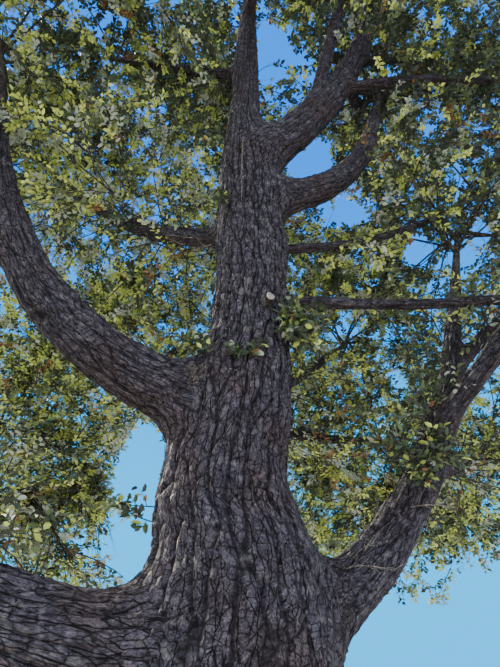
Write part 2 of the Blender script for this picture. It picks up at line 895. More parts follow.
MASSES = (
    MassSpec("trunk", 1.9, 0.9, Region.TOP, 1.0, 1.1, 1.0, -0.3),
    MassSpec("low_left_bough", 1.95, 1.2, Region.LOW_LEFT, 1.0, 1.2, 1.1, 0.35),
    MassSpec("low_left_front_bough", 2.1, 1.0, Region.LOW_LEFT, 0.9, 1.1, 1.0, 0.0),
    MassSpec("low_left_back_bough", 1.9, 0.9, Region.LOW_LEFT, 1.3, 1.7, 1.4, 0.75),
    MassSpec("front_bough", 2.1, 1.0, Region.LOW_LEFT, 0.85, 1.0, 1.0, 0.0),
    MassSpec("left_bough", 1.9, 1.3, Region.LEFT, 1.0, 1.2, 1.0, 0.4),
    MassSpec("left_outer_bough", 2.0, 1.0, Region.LEFT, 1.0, 1.2, 1.0, 0.35),
    MassSpec("left_front_bough", 2.1, 1.0, Region.LEFT, 0.9, 1.0, 1.0, 0.1),
    MassSpec("back_left_bough", 2.0, 1.0, Region.LEFT, 1.35, 1.9, 1.0, 0.45),
    MassSpec("back_bough", 2.1, 1.1, Region.BACK, 1.0, 1.6, 1.0, 0.1),
    MassSpec("back_low_bough", 2.0, 1.0, Region.BACK, 1.0, 1.3, 1.3, 0.25),
    MassSpec("back_low_left_bough", 1.9, 0.9, Region.BACK, 1.2, 1.75, 1.3, 0.25),
    MassSpec("back_low_right_bough", 1.9, 0.9, Region.BACK, 1.0, 1.5, 1.45, 0.55),
    MassSpec("back_right_bough", 1.8, 0.9, Region.BACK, 0.9, 1.2, 1.0, 0.4),
    MassSpec("low_right_bough", 1.7, 1.0, Region.LOW_RIGHT, 0.8, 0.9, 1.0, -0.2),
    MassSpec("low_right_outer_bough", 2.0, 1.1, Region.LOW_RIGHT, 0.9, 1.1, 1.0, -0.35),
    MassSpec("low_right_front_bough", 2.1, 1.0, Region.LOW_RIGHT, 0.85, 1.1, 1.0, -0.4),
    MassSpec("low_right_back_bough", 1.9, 0.9, Region.LOW_RIGHT, 1.0, 1.4, 1.0, 0.25),
    MassSpec("right_bough", 1.7, 1.0, Region.FORK, 0.75, 0.9, 1.0, -0.3),
    MassSpec("fork_low_bough", 2.0, 1.0, Region.FORK, 0.95, 1.0, 1.0, -0.4),
    MassSpec("fork_bough", 1.9, 1.0, Region.FORK, 1.0, 1.0, 1.0, -0.4),
    MassSpec("fork_inner_bough", 1.7, 0.9, Region.FORK, 0.9, 1.0, 1.0, -0.4),
    MassSpec("fork_outer_bough", 1.9, 1.0, Region.FORK, 1.05, 1.0, 1.0, -0.4),
    MassSpec("fork_back_bough", 1.8, 0.9, Region.FORK, 0.9, 1.2, 1.0, 0.2),
    MassSpec("upper_right_branch", 1.7, 0.9, Region.LOW_RIGHT, 0.75, 0.9, 1.0, -0.4),
    MassSpec("lower_right_branch", 1.8, 0.9, Region.LOW_RIGHT, 0.85, 1.0, 1.0, -0.4),
    MassSpec("leader_front_bough", 2.1, 1.0, Region.TOP, 0.9, 2.3, 1.0, -0.7),
    MassSpec("leader_left_bough", 1.7, 0.9, Region.LEFT, 1.35, 1.5, 1.0, -0.65),
    MassSpec("leader_back_bough", 2.0, 1.0, Region.TOP, 1.1, 1.6, 1.0, -0.25),
)


@dataclass(frozen=True)
class Thicket:
    """A denser patch of side twigs, with half its sizes and its twigs to the cubic metre."""

    middle: tuple[float, float, float]
    half: tuple[float, float, float]
    density: float = 13.0


DENSE = 24.0
THICKETS = {
    "low_left_back_mass": (
        Thicket((-2.5, 3.1, 3.1), (1.0, 0.9, 0.7), DENSE),
        Thicket((-2.4, 3.0, 4.0), (0.9, 0.9, 0.8), DENSE),
        Thicket((-2.0, 2.6, 2.75), (0.9, 0.8, 0.45), DENSE),
        Thicket((-1.7, 1.8, 2.6), (0.7, 0.7, 0.35), DENSE),
        Thicket((-2.6, 2.4, 4.6), (0.9, 0.8, 0.5), DENSE),
        Thicket((-2.6, 2.0, 5.6), (1.2, 0.8, 0.7)),
        Thicket((-3.2, 2.4, 6.1), (0.9, 0.9, 0.8)),
        Thicket((-1.5, 2.4, 3.0), (0.4, 0.6, 0.5), DENSE),
        Thicket((-1.75, 2.6, 3.6), (0.5, 0.6, 0.6), DENSE),
    ),
    "back_low_left_mass": (
        Thicket((-2.6, 3.8, 7.6), (1.3, 0.8, 0.9)),
        Thicket((-1.6, 3.8, 8.0), (1.0, 0.8, 0.9)),
    ),
    "back_right_mass": (
        Thicket((1.8, 3.8, 8.2), (1.1, 0.8, 0.9)),
        Thicket((2.2, 3.4, 7.3), (1.0, 0.8, 0.8)),
        Thicket((2.4, 2.8, 8.4), (0.8, 0.7, 0.8)),
        Thicket((2.6, 3.0, 6.4), (0.9, 0.8, 0.7)),
    ),
    "back_low_right_mass": (
        Thicket((1.5, 5.6, 4.3), (0.9, 0.8, 1.1), DENSE),
        Thicket((1.4, 4.6, 3.8), (0.7, 0.8, 0.8), DENSE),
        Thicket((1.2, 3.6, 3.4), (0.5, 0.6, 0.5), DENSE),
    ),
    "low_right_mass": (
        Thicket((1.5, 1.3, 6.1), (0.8, 0.6, 0.8)),
    ),
    "low_right_back_mass": (
        Thicket((2.4, 4.4, 3.4), (1.0, 0.7, 0.9), DENSE),
        Thicket((3.2, 3.8, 3.5), (0.9, 0.8, 0.6), DENSE),
        Thicket((2.95, 2.9, 3.25), (0.7, 0.7, 0.5), DENSE),
        Thicket((1.8, 3.4, 4.1), (0.6, 0.6, 0.5), DENSE),
    ),
    "leader_left_mass": (
        Thicket((-0.65, -0.6, 8.2), (0.4, 0.4, 0.9)),
        Thicket((-1.2, -1.6, 9.4), (0.9, 0.8, 0.8)),
    ),
    "left_front_mass": (
        Thicket((-2.2, -1.6, 8.8), (1.1, 0.9, 0.9)),
    ),
    "crown_top_mass": (
        Thicket((0.95, 0.9, 12.4), (0.35, 0.6, 0.9)),
    ),
    "leader_back_mass": (
        Thicket((-0.45, 0.6, 11.4), (0.5, 0.6, 0.9)),
    ),
    "fork_outer_mass": (
        Thicket((4.3, 0.9, 11.6), (0.8, 0.8, 0.9)),
    ),
}


@dataclass
class Shoots:
    """A batch of shoots, each one a bent line that tapers.

    Attributes:
        starts: Where they start.
        ends: Where they end.
        bends: How far the middle of each one is off the straight line.
        radii: The radius at the foot.
    """

    starts: Array
    ends: Array
    bends: Array
    radii: Array

    def __len__(self) -> int:
        """How many shoots there are."""
        return len(self.starts)

    def keep(self, wanted: Array) -> "Shoots":
        """The shoots for which wanted is true."""
        return Shoots(
            self.starts[wanted], self.ends[wanted], self.bends[wanted], self.radii[wanted]
        )

    def at(self, shares: Array) -> Array:
        """Points on every shoot.

        Args:
            shares: Shares of the length, one a column, the same for all or one row a shoot.

        Returns:
            Points: shoots, shares and three coordinates.
        """
        t = np.broadcast_to(shares, (len(self), np.shape(shares)[-1]))[..., None]
        straight = self.starts[:, None] + t * (self.ends - self.starts)[:, None]
        return straight + 4 * t * (1 - t) * self.bends[:, None]

    def heading(self, shares: Array) -> Array:
        """Unit headings at shares of the length, laid out as in at."""
        t = np.broadcast_to(shares, (len(self), np.shape(shares)[-1]))[..., None]
        return unit((self.ends - self.starts)[:, None] + 4 * (1 - 2 * t) * self.bends[:, None])

    @staticmethod
    def joined(batches: Sequence["Shoots"]) -> "Shoots":
        """One batch out of several."""
        names = ("starts", "ends", "bends", "radii")
        return Shoots(*(np.concatenate([getattr(one, name) for one in batches]) for name in names))


@dataclass(frozen=True)
class Branching:
    """How finer shoots leave a coarser one."""

    # Shoots on each parent, and the stretch of it that carries them
    count: int
    zone: tuple[float, float]
    # Their length at its foot, the share of it that they lose towards the tip, and their
    # angle from the parent at both
    length: float
    shrink: float
    splay: tuple[float, float]
    # Their radius at the foot, how far they bend over their length, and how much they
    # turn up
    radius: float
    bend: float
    rise: float
    # Where in its own stretch each may stand, how far its angle strays, in degrees, and
    # the least and greatest length and radius over the even ones
    spots: tuple[float, float] = (0.15, 0.85)
    stray: float = 9.0
    lengths: tuple[float, float] = (0.72, 1.2)
    radii: tuple[float, float] = (0.8, 1.15)

    def sprout(self, parents: Shoots, random: Chance) -> Shoots:
        """Shoots on every parent, spread round it by the golden angle.

        Args:
            parents: The coarser shoots.
            random: The source of chance.

        Returns:
            The finer shoots.
        """
        shape = (len(parents), self.count)
        share = (np.arange(self.count) + random.uniform(*self.spots, shape)) / self.count
        share = self.zone[0] + (self.zone[1] - self.zone[0]) * share
        turn = np.radians(GOLDEN_ANGLE) * np.arange(self.count)
        turn = turn + random.uniform(0, 2 * np.pi, (len(parents), 1))
        splay = self.splay[0] + (self.splay[1] - self.splay[0]) * share
        splay = np.radians(splay + random.uniform(-self.stray, self.stray, shape))[..., None]
        starts, heading = parents.at(share), parents.heading(share)
        way = unit(fanned(heading, turn, splay) + self.rise * UP)
        even = self.length * (1 - self.shrink * share)
        length = (even * random.uniform(*self.lengths, shape))[..., None]
        bends = unit(random.normal(size=(*shape, 3))) * (self.bend * length)
        radii = np.full(shape, self.radius) * random.uniform(*self.radii, shape)
        places = (starts, starts + way * length, bends)
        return Shoots(*(value.reshape(-1, 3) for value in places), radii.ravel())


@dataclass(frozen=True)
class Lookout:
    """The eye that looks up at the trunk, and its focal length over the picture's long side."""

    eye: tuple[float, float, float]
    pitch: float
    focal: float

    def project(self, points: Array) -> tuple[Array, Array, Array]:
        """Where points are in the view.

        Args:
            points: The points, one a row.

        Returns:
            Right and up in the view as tangents, and the distance ahead.
        """
        offset = points - np.array(self.eye)
        rise = np.radians(self.pitch)
        ahead = np.cos(rise) * offset[:, 1] + np.sin(rise) * offset[:, 2]
        lift = np.cos(rise) * offset[:, 2] - np.sin(rise) * offset[:, 1]
        safe = np.where(np.abs(ahead) < 1e-3, 1e-3, ahead)
        return offset[:, 0] / safe, lift / safe, ahead

    def set_camera(self) -> None:
        """Puts the scene's camera in its place."""
        data = bpy.data.cameras.new("lookout")
        data.sensor_width = 36.0
        data.lens = data.sensor_width * self.focal
        camera = bpy.data.objects.new("lookout", data)
        camera.location = self.eye
        camera.rotation_euler = (np.radians(90 + self.pitch), 0.0, 0.0)
        bpy.context.scene.collection.objects.link(camera)
        bpy.context.scene.camera = camera


@dataclass(frozen=True)
class SkyGap:
    """An oval in the view that the crown leaves open."""

    right: float
    up: float
    half_width: float
    half_height: float

    def covers(self, right: Array, up: Array) -> Array:
        """Which points of the view lie in it."""
        across = (right - self.right) / self.half_width
        return across**2 + ((up - self.up) / self.half_height) ** 2 < 1


LOOKOUT = Lookout((0.1, -3.6, 1.6), 35.0, 0.75)
SKY_GAPS = (
    SkyGap(-0.234, -0.35, 0.038, 0.13),
    SkyGap(-0.21, -0.24, 0.03, 0.06),
    SkyGap(0.135, 0.34, 0.028, 0.05),
    SkyGap(0.115, 0.29, 0.03, 0.035),
    SkyGap(0.03, 0.56, 0.016, 0.07),
    SkyGap(0.2, 0.24, 0.03, 0.022),
    SkyGap(0.34, 0.165, 0.022, 0.028),
    SkyGap(0.42, 0.15, 0.03, 0.02),
    SkyGap(0.46, 0.2, 0.02, 0.025),
)
CLEAR_LIMBS = {
    "trunk": 0.72,
    "low_left_bough": 0.6,
    "left_bough": 0.66,
    "low_right_bough": 0.34,
    "right_bough": 0.5,
    "fork_bough": 0.66,
    "fork_inner_bough": 0.3,
}


@dataclass
class Openings:
    """Where the crown lets the sky and the clear part of the main limbs be seen."""

    skeleton: Skeleton
    lookout: Lookout
    # How far leaves stay clear of those limbs in the view, and of the eye
    margin: float = 0.012
    nearest: float = 1.9
    # How far in front of the eye the view starts, and the points of a limb looked at
    ahead: float = 0.2
    steps: int = 60
    # The limbs in the view: right, up, the distance ahead and half the width
    shapes: list[tuple[Array, Array, Array, Array]] = field(default_factory=list, init=False)

    def __post_init__(self) -> None:
        """Notes how the main limbs lie in the view."""
        for name, share in CLEAR_LIMBS.items():
            at = np.linspace(0.0, share, self.steps)
            points, radii, _ = self.skeleton.limbs[name].sample(at)
            right, up, ahead = self.lookout.project(points)
            self.shapes.append((right, up, ahead, radii / np.maximum(ahead, 0.3)))

    def closed(self, points: Array) -> Array:
        """Which points may carry leaves.

        Args:
            points: Points of the crown, one a row.

        Returns:
            True where neither a sky gap nor the view of a main limb is.
        """
        right, up, ahead = self.lookout.project(points)
        seen = ahead > self.ahead
        blocked = np.zeros(len(points), bool)
        for gap in SKY_GAPS:
            blocked |= gap.covers(right, up) & seen
        for at_right, at_up, at_ahead, half in self.shapes:
            apart = np.hypot(right[:, None] - at_right, up[:, None] - at_up) - half
            near = apart.argmin(axis=1)
            before = ahead < at_ahead[near]
            blocked |= (apart.min(axis=1) < self.margin) & before & seen
        blocked |= np.linalg.norm(points - np.array(self.lookout.eye), axis=-1) < self.nearest
        return ~blocked


@dataclass
class Harvest:
    """What a region of the crown is made of.

    Attributes:
        shoots: Its shoots by order.
        leaves: Batches of near leaves, and of far ones.
        tints: The tints of those leaves.
        nodes: The masses that it takes the place of.
    """

    shoots: dict[int, list[Shoots]] = field(default_factory=dict)
    leaves: tuple[list[Array], list[Array]] = field(default_factory=lambda: ([], []))
    tints: tuple[list[Array], list[Array]] = field(default_factory=lambda: ([], []))
    nodes: list[str] = field(default_factory=list)


@dataclass(frozen=True)
class LeafShape:
    """A leaf's sizes, and how it sits on its twig."""

    # Corners, as shares of the length, the width and the fold
    outline: tuple[tuple[float, float, float], ...] = (
        (0.04, 0.0, 0.0),
        (0.36, 0.5, 1.0),
        (0.76, 0.37, 0.9),
        (1.0, 0.0, -0.4),
        (0.76, -0.37, 0.9),
        (0.36, -0.5, 1.0),
    )
    # The even sizes, and how far the sides rise above the midrib, over the width
    length: float = 0.089
    width: float = 0.046
    fold: float = 0.17
    # The least and greatest ones over those
    lengths: tuple[float, float] = (0.65, 1.15)
    widths: tuple[float, float] = (0.75, 1.15)
    # Angle from the twig, how much of its rise or fall is left, and how much it hangs
    splay: tuple[float, float] = (36.0, 70.0)
    level: float = 0.6
    hang: float = 0.08
    # How far its face strays from level
    tilt: float = 0.6

    def spray(self, twigs: Shoots, each: int, sizes: Array, random: Chance) -> Array:
        """The leaves of every twig.

        Args:
            twigs: The end twigs.
            each: Leaves on each of them.
            sizes: What the leaves' size is multiplied by on each twig.
            random: The source of chance.

        Returns:
            The corners of the leaves: leaves, corners and three coordinates.
        """
        shape = (len(twigs), each)
        share = 0.1 + 0.9 * (np.arange(each) + random.uniform(0.2, 1.0, shape)) / each
        turn = np.radians(GOLDEN_ANGLE) * np.arange(each)
        turn = turn + random.uniform(0, 2 * np.pi, (len(twigs), 1))
        base, heading = twigs.at(share), twigs.heading(share)
        splay = np.radians(random.uniform(*self.splay, shape))[..., None]
        way = fanned(heading, turn, splay)
        way[..., 2] = way[..., 2] * self.level - self.hang
        way = unit(way)
        face = unit(UP + self.tilt * random.normal(size=(*shape, 3)))
        across = unit(np.cross(way, face))
        face = np.cross(across, way)
        size = sizes[:, None]
        length = self.length * (size * random.uniform(*self.lengths, shape))[..., None]
        width = self.width * (size * random.uniform(*self.widths, shape))[..., None]
        corners = [
            base + way * length * ahead + across * width * out + face * width * self.fold * up
            for ahead, out, up in self.outline
        ]
        return np.stack(corners, axis=2).reshape(-1, len(self.outline), 3)


PLAIN_LEAF = LeafShape(((0.04, 0.0, 0.0), (0.46, 0.58, 1.0), (1.0, 0.0, -0.4), (0.46, -0.58, 1.0)))


def leaf_piece(name: str, kinds: Sequence[tuple[Array, Array]]) -> Piece:
    """Leaves as one piece, each one folded in two halves.

    Args:
        name: The piece's name.
        kinds: The corners and the tints of the leaves of each kind.

    Returns:
        The piece.
    """
    vertices, faces, slots = [], [], []
    total = 0
    for leaves, tints in kinds:
        corners = leaves.shape[1]
        first = (total + np.arange(len(leaves)) * corners)[:, None]
        half = np.arange(corners // 2 + 1)
        faces += [first + half, first + (half + corners // 2) % corners]
        slots += [tints, tints]
        vertices.append(leaves.reshape(-1, 3))
        total += len(vertices[-1])
    return make_mesh(name, np.concatenate(vertices), faces, slots)


@dataclass
class Foliage:
    """The crown: each mass's main twigs by the solids' rule, then finer twigs and leaves."""

    skeleton: Skeleton
    openings: Openings
    tints: "LeafFinishes"
    bark: "TwigFinish"
    leaf: LeafShape = LeafShape()
    far_leaf: LeafShape = PLAIN_LEAF
    # Height of a mass over its width
    flatness: float = 0.78
    # Main twigs, their reach over the mass's radius, the stretch of the stem that
    # carries them, and how far they bend up and by chance over their length
    twig_count: int = 7
    twig_spread: float = 0.74
    twig_zone: tuple[float, float] = (0.4, 0.96)
    twig_radius: float = 0.02
    twig_bend: tuple[float, float] = (0.07, 0.06)
    # Other twigs between them
    fill_count: int = 8
    fill_spread: float = 0.62
    # The stem's foot over its limb's tip, its tip over its foot, and its start inside it
    stem_fit: float = 0.97
    stem_tip: float = 0.35
    stem_sunk: float = 0.05
    # Side twigs to the cubic metre, and the space that they fill over the mass's own
    fill_density: float = 4.7
    fill_radius: float = 1.03
    fill_flatness: float = 0.86
    # The stretch of a bough, and of a main bough, that carries side twigs
    bough_zone: tuple[float, float] = (0.25, 1.0)
    main_zone: tuple[float, float] = (0.58, 1.0)
    # Their lengths, and how much longer one counts that leaves sideways
    shortest: float = 0.1
    longest: float = 1.3
    sideways: float = 0.7
    # How far they bend from the parent's heading and by chance, over their length
    side_bend: tuple[float, float] = (0.16, 0.04)
    # Their least radius, and what they gain with every metre
    side_radius: tuple[float, float] = (0.0045, 0.005)
    # How many times they may grow on from each other, and where on them
    rounds: int = 3
    onward: tuple[float, ...] = (0.5, 0.7, 0.9)
    # Size of the clumps of leaves, and how full the space is, from -1 for bare to 1
    clump: float = 0.42
    clump_gap: float = 0.3
    end_twigs: Branching = Branching(6, (0.2, 1.0), 0.34, 0.3, (58, 18), 0.004, 0.0, 0.1)
    # Leaves on each end twig, near the eye and far from it
    leaves_each: tuple[int, int] = (9, 14)
    far_from: float = 6.0
    # The distance from which leaves have their full size, and the nearest ones' share
    full_leaf_from: float = 8.8
    smallest_leaf: float = 0.8
    # How far leaves may stand out of the solids' box
    overhang: float = 0.14
    seed: int = 1914

    def build(self) -> None:
        """Grows and makes every region."""
        regions = {region: Harvest() for region in Region}
        for index, spec in enumerate(MASSES):
            random = np.random.default_rng(self.seed + index)
            self._grow(spec, index, random, regions[spec.region])
        bark, tints = (self.bark.material(),), self.tints.materials()
        for region, harvest in regions.items():
            dress(self._make_twigs(region, harvest), harvest.nodes, bark)
            dress(self._make_leaves(region, harvest), harvest.nodes, tints)

    def _in_box(self, points: Array) -> Array:
        """Which points are in the tree's own box, or hardly out of it."""
        low, high = (np.array(corner) for corner in CAD_BOX)
        return np.all((points > low - self.overhang) & (points < high + self.overhang), axis=-1)

    def _main_twigs(
        self, foot: Array, centre: Array, radius: float, index: int, random: Chance
    ) -> Shoots:
        """The solids' main twigs, and other ones between them.

        Args:
            foot: The stem's foot.
            centre: The middle of the mass.
            radius: The radius of its space.
            index: The mass's number.
            random: The source of chance.

        Returns:
            The twigs.
        """
        batches = []
        up, stray = self.twig_bend
        for count, spread, shift in (
            (self.twig_count, self.twig_spread, 0.0),
            (self.fill_count, self.fill_spread, GOLDEN_ANGLE / 2),
        ):
            k = np.arange(count)
            part = (k + 0.5) / count
            height = 1 - 2 * part
            level = np.sqrt(1 - height**2)
            turn = np.radians(GOLDEN_ANGLE * k + 360 * index / len(MASSES) + shift)
            towards = np.stack(
                [np.cos(turn) * level, np.sin(turn) * level, height * self.flatness], -1
            )
            at = self.twig_zone[0] + (self.twig_zone[1] - self.twig_zone[0]) * part
            starts = foot + (centre - foot) * at[:, None]
            ends = centre + towards * radius * spread
            length = np.linalg.norm(ends - starts, axis=-1, keepdims=True)
            bends = length * (up * UP + random.uniform(-stray, stray, (count, 3)))
            radii = np.full(count, self.twig_radius) * random.uniform(0.8, 1.1, count)
            batches.append(Shoots(starts, ends, bends, radii))
        return Shoots.joined(batches)

    def _reach_out(
        self, targets: Array, from_points: Array, headings: Array, random: Chance
    ) -> Shoots:
        """A side twig to every target, from the place on a coarser shoot that suits it best.

        Args:
            targets: Where the twigs end.
            from_points: Places that they may leave from.
            headings: The coarser shoots' headings there.
            random: The source of chance.

        Returns:
            The twigs, which leave along the coarser shoot and bend towards their targets.
        """
        grown, places, ways = [], from_points, headings
        (bend, stray), (least, gain) = self.side_bend, self.side_radius
        for _ in range(self.rounds):
            way = targets[:, None] - places[None]
            length = np.linalg.norm(way, axis=-1)
            forward = (way * ways[None]).sum(-1) / np.maximum(length, 1e-6)
            best = (length * (1 + self.sideways - self.sideways * forward)).argmin(axis=1)
            rows = np.arange(len(targets))
            length, way, heading = length[rows, best], way[rows, best], ways[best]
            bends = bend * length[:, None] * (heading - unit(way))
            bends += stray * length[:, None] * random.normal(size=way.shape)
            twigs = Shoots(places[best], targets, bends, least + gain * length)
            reached = length < self.longest
            grown.append(twigs.keep(reached & (length > self.shortest)))
            targets = targets[~reached]
            if len(targets) == 0 or len(grown[-1]) == 0:
                break
            shares = np.array(self.onward)
            places = grown[-1].at(shares).reshape(-1, 3)
            ways = grown[-1].heading(shares).reshape(-1, 3)
        return Shoots.joined(grown)

    def _fill_ball(self, spec: MassSpec, main: Shoots, centre: Array, random: Chance) -> Shoots:
        """Side twigs that fill a mass evenly.

        Args:
            spec: The mass.
            main: Its main twigs.
            centre: Its middle.
            random: The source of chance.

        Returns:
            The side twigs.
        """
        half = spec.radius * self.fill_radius * np.array([1.0, 1.0, self.fill_flatness])
        cube = 2 * even_points(round(self.fill_density * spec.fullness * np.prod(2 * half)), random)
        ball = cube[((cube - 1) ** 2).sum(-1) < 1] - 1
        ball[:, 2] *= np.where(ball[:, 2] < 0, spec.droop, 1.0)
        targets = [centre + ball * half]
        for thicket in THICKETS.get(spec.name, ()):
            room = 2 * np.array(thicket.half)
            cube = 2 * even_points(round(thicket.density * np.prod(room)), random) - 1
            inside = cube[(cube**2).sum(-1) < 1]
            targets.append(np.array(thicket.middle) + inside * room / 2)
        shares = np.linspace(0.12, 0.95, 10)
        places, headings = main.at(shares).reshape(-1, 3), main.heading(shares).reshape(-1, 3)
        return self._reach_out(np.concatenate(targets), places, headings, random)

    def _fill_along(self, spec: MassSpec, path: LimbPath, random: Chance) -> Shoots:
        """Side twigs that fill the space along the outer part of a bough.

        Args:
            spec: The mass that the bough carries.
            path: The bough.
            random: The source of chance.

        Returns:
            The side twigs.
        """
        main = spec.limb in CLEAR_LIMBS
        low, high = self.main_zone if main else self.bough_zone
        space = np.pi * spec.along**2 * self.flatness * path.length * (high - low)
        spots = even_points(round(self.fill_density * spec.fullness * space), random)
        points, _, headings = path.sample(low + (high - low) * spots[:, 0])
        side = unit(np.cross(headings, UP))
        over = np.cross(side, headings)
        turn = 2 * np.pi * spots[:, 1:2]
        out = spec.along * np.sqrt(0.06 + 0.94 * spots[:, 2:3])
        targets = points + out * (side * np.cos(turn) + over * np.sin(turn) * self.flatness)
        places, _, ways = path.sample(np.linspace(low - 0.08, 1.0, 40))
        return self._reach_out(targets, places, ways, random)

    def _grow(self, spec: MassSpec, index: int, random: Chance, harvest: Harvest) -> None:
        """Grows one mass, and the twigs along its bough, into its region's harvest.

        Args:
            spec: The mass.
            index: Its number.
            random: The source of chance.
            harvest: What the region is made of so far.
        """
        path = self.skeleton.limbs[spec.limb]
        foot, foot_radius, heading = (value[0] for value in path.sample(np.array([1.0])))
        lean = UP if spec.limb == "trunk" else heading
        centre = foot + lean * spec.reach
        stem_foot = (foot - lean * self.stem_sunk)[None]
        stem = Shoots(stem_foot, centre[None], np.zeros((1, 3)), np.array([foot_radius]))
        main = self._main_twigs(foot, centre, spec.radius, index, random)
        side = self._fill_ball(spec, main, centre, random)
        if spec.limb != "trunk":
            side = Shoots.joined([side, self._fill_along(spec, path, random)])
        side = side.keep(self._wanted(side.ends) & self._clear_of_view(side))
        ends = self.end_twigs.sprout(Shoots.joined([main, side]), random)
        ends = ends.keep(self._wanted(ends.ends) & self._clumped(ends.ends))
        for order, batch in enumerate((stem, main, side, ends)):
            harvest.shoots.setdefault(order, []).append(batch)
        apart = np.linalg.norm(ends.ends - np.array(self.openings.lookout.eye), axis=-1)
        sizes = np.clip(apart / self.full_leaf_from, self.smallest_leaf, 1.0)
        dealt = self.tints.deal(ends.ends, centre, spec, random)
        for far, leaf in enumerate((self.leaf, self.far_leaf)):
            chosen = (apart >= self.far_from) == bool(far)
            each = self.leaves_each[far]
            leaves = leaf.spray(ends.keep(chosen), each, sizes[chosen], random)
            tints = np.repeat(dealt[chosen], each)
            stray = random.uniform(size=len(tints)) < self.tints.stray
            tints[stray] = random.permutation(tints[stray])
            clear = self.openings.closed(leaves.mean(axis=1))
            harvest.leaves[far].append(leaves[clear])
            harvest.tints[far].append(tints[clear])
        harvest.nodes.append(spec.name)

    def _wanted(self, points: Array) -> Array:
        """Which points are in the tree's own box and not in an opening."""
        return self._in_box(points) & self.openings.closed(points)

    def _clear_of_view(self, twigs: Shoots) -> Array:
        """Which twigs stay clear of the openings on their way.

        Args:
            twigs: The twigs.

        Returns:
            True for those that cross neither a sky gap nor the view of a main limb.
        """
        shares = np.array([0.35, 0.65])
        points = twigs.at(shares).reshape(-1, 3)
        return self.openings.closed(points).reshape(-1, len(shares)).all(axis=1)

    def _clumped(self, points: Array) -> Array:
        """Which points are in a clump of leaves, and not between two."""
        return noise(points / self.clump, self.seed) < self.clump_gap

    def _make_twigs(self, region: Region, harvest: Harvest) -> Piece:
        """A region's stems and twigs as one piece.

        Args:
            region: The region.
            harvest: What it is made of.

        Returns:
            The piece.
        """
        # Steps, sides and taper of the stems and of each order of twigs
        layouts = ((6, 8, self.stem_tip), (6, 5, 0.3), (4, 3, 0.35), (2, 3, 0.3))
        vertices, quads, triangles = [], [], []
        total = 0
        for order, (steps, sides, tip) in enumerate(layouts):
            batch = Shoots.joined(harvest.shoots[order])
            t = np.linspace(0.0, 1.0, steps)
            radii = batch.radii[:, None] * (1 - (1 - tip) * t[:-1])
            if order == 0:
                radii = radii * self.stem_fit
            points, blocks = tubes(batch.at(t), radii, sides)
            vertices.append(points)
            for block in blocks:
                (quads if block.shape[1] == 4 else triangles).append(block + total)
            total += len(points)
        faces = [np.concatenate(quads), np.concatenate(triangles)]
        piece = make_mesh(f"{region.value}_twigs", np.concatenate(vertices), faces)
        piece.data.shade_smooth()
        return piece

    def _make_leaves(self, region: Region, harvest: Harvest) -> Piece:
        """A region's leaves as one piece.

        Args:
            region: The region.
            harvest: What it is made of.

        Returns:
            The piece.
        """
        kinds = [
            (np.concatenate(leaves), np.concatenate(tints))
            for leaves, tints in zip(harvest.leaves, harvest.tints, strict=True)
        ]
        return leaf_piece(f"{region.value}_leaves", kinds)


# Growth on the bark


@dataclass(frozen=True)
class Sprig:
    """A small shoot that stands on a limb's bark, at a distance along it and an angle round it."""

    limb: str
    along: float
    around: float
    bearing: float
    rise: float
    length: float
    radius: float


@dataclass(frozen=True)
class Tuft:
    """Sprigs that stand close together.

    Along and around are the stretch of the limb and the part of its girth that carry them,
    bearing and rise are those of the middle one, length is that of the longest, and spread is
    how far their bearings and rises stray.
    """

    limb: str
    along: tuple[float, float]
    around: tuple[float, float]
    bearing: float
    rise: float
    count: int
    length: float
    radius: float = 0.006
    spread: tuple[float, float] = (60, 22)

    def sprigs(self, random: Chance) -> list[Sprig]:
        """The sprigs.

        Args:
            random: The source of chance.

        Returns:
            One sprig for each shoot that leaves the bark.
        """
        swing, lift = self.spread
        return [
            Sprig(
                self.limb,
                random.uniform(*self.along),
                random.uniform(*self.around),
                self.bearing + random.uniform(-swing, swing),
                self.rise + random.uniform(-lift, lift),
                self.length * random.uniform(0.7, 1.0),
                self.radius,
            )
            for _ in range(self.count)
        ]


Profile = tuple[tuple[float, float], ...]


@dataclass(frozen=True)
class Scar:
    """What is left of a branch: a round shape on the bark with bare wood in its middle.

    The profile runs from rim to middle and gives distances from the scar's own axis and from the
    bark. It is bare wood from the step bare_from on.
    """

    name: str
    limb: str
    along: float
    around: float
    bare_from: int
    profile: Profile


LIVE_SPRIGS = (
    Sprig("trunk", 3.58, 268, 210, 60, 0.12, 0.004),
    Sprig("trunk", 3.6, 276, 330, 50, 0.14, 0.004),
    Sprig("trunk", 3.66, 232, 215, 55, 0.16, 0.004),
    Sprig("trunk", 3.75, 215, 200, 35, 0.18, 0.004),
    Sprig("trunk", 5.5, 235, 230, -12, 0.16, 0.004),
    Sprig("trunk", 6.72, 220, 212, 15, 0.26, 0.005),
    Sprig("trunk", 6.8, 212, 195, -25, 0.22, 0.005),
    Sprig("trunk", 2.62, 182, 180, 4, 0.28, 0.005),
    Sprig("trunk", 2.5, 188, 190, 20, 0.24, 0.005),
)
TUFTS = (
    Tuft("trunk", (3.95, 4.15), (305, 345), 320, -18, 12, 0.34),
    Tuft("low_left_bough", (0.9, 1.9), (262, 275), 150, 70, 7, 0.38),
    Tuft("low_right_bough", (1.9, 3.0), (280, 330), 235, 35, 12, 0.4),
    Tuft("low_right_bough", (1.7, 2.4), (285, 350), 300, 5, 8, 0.24),
)
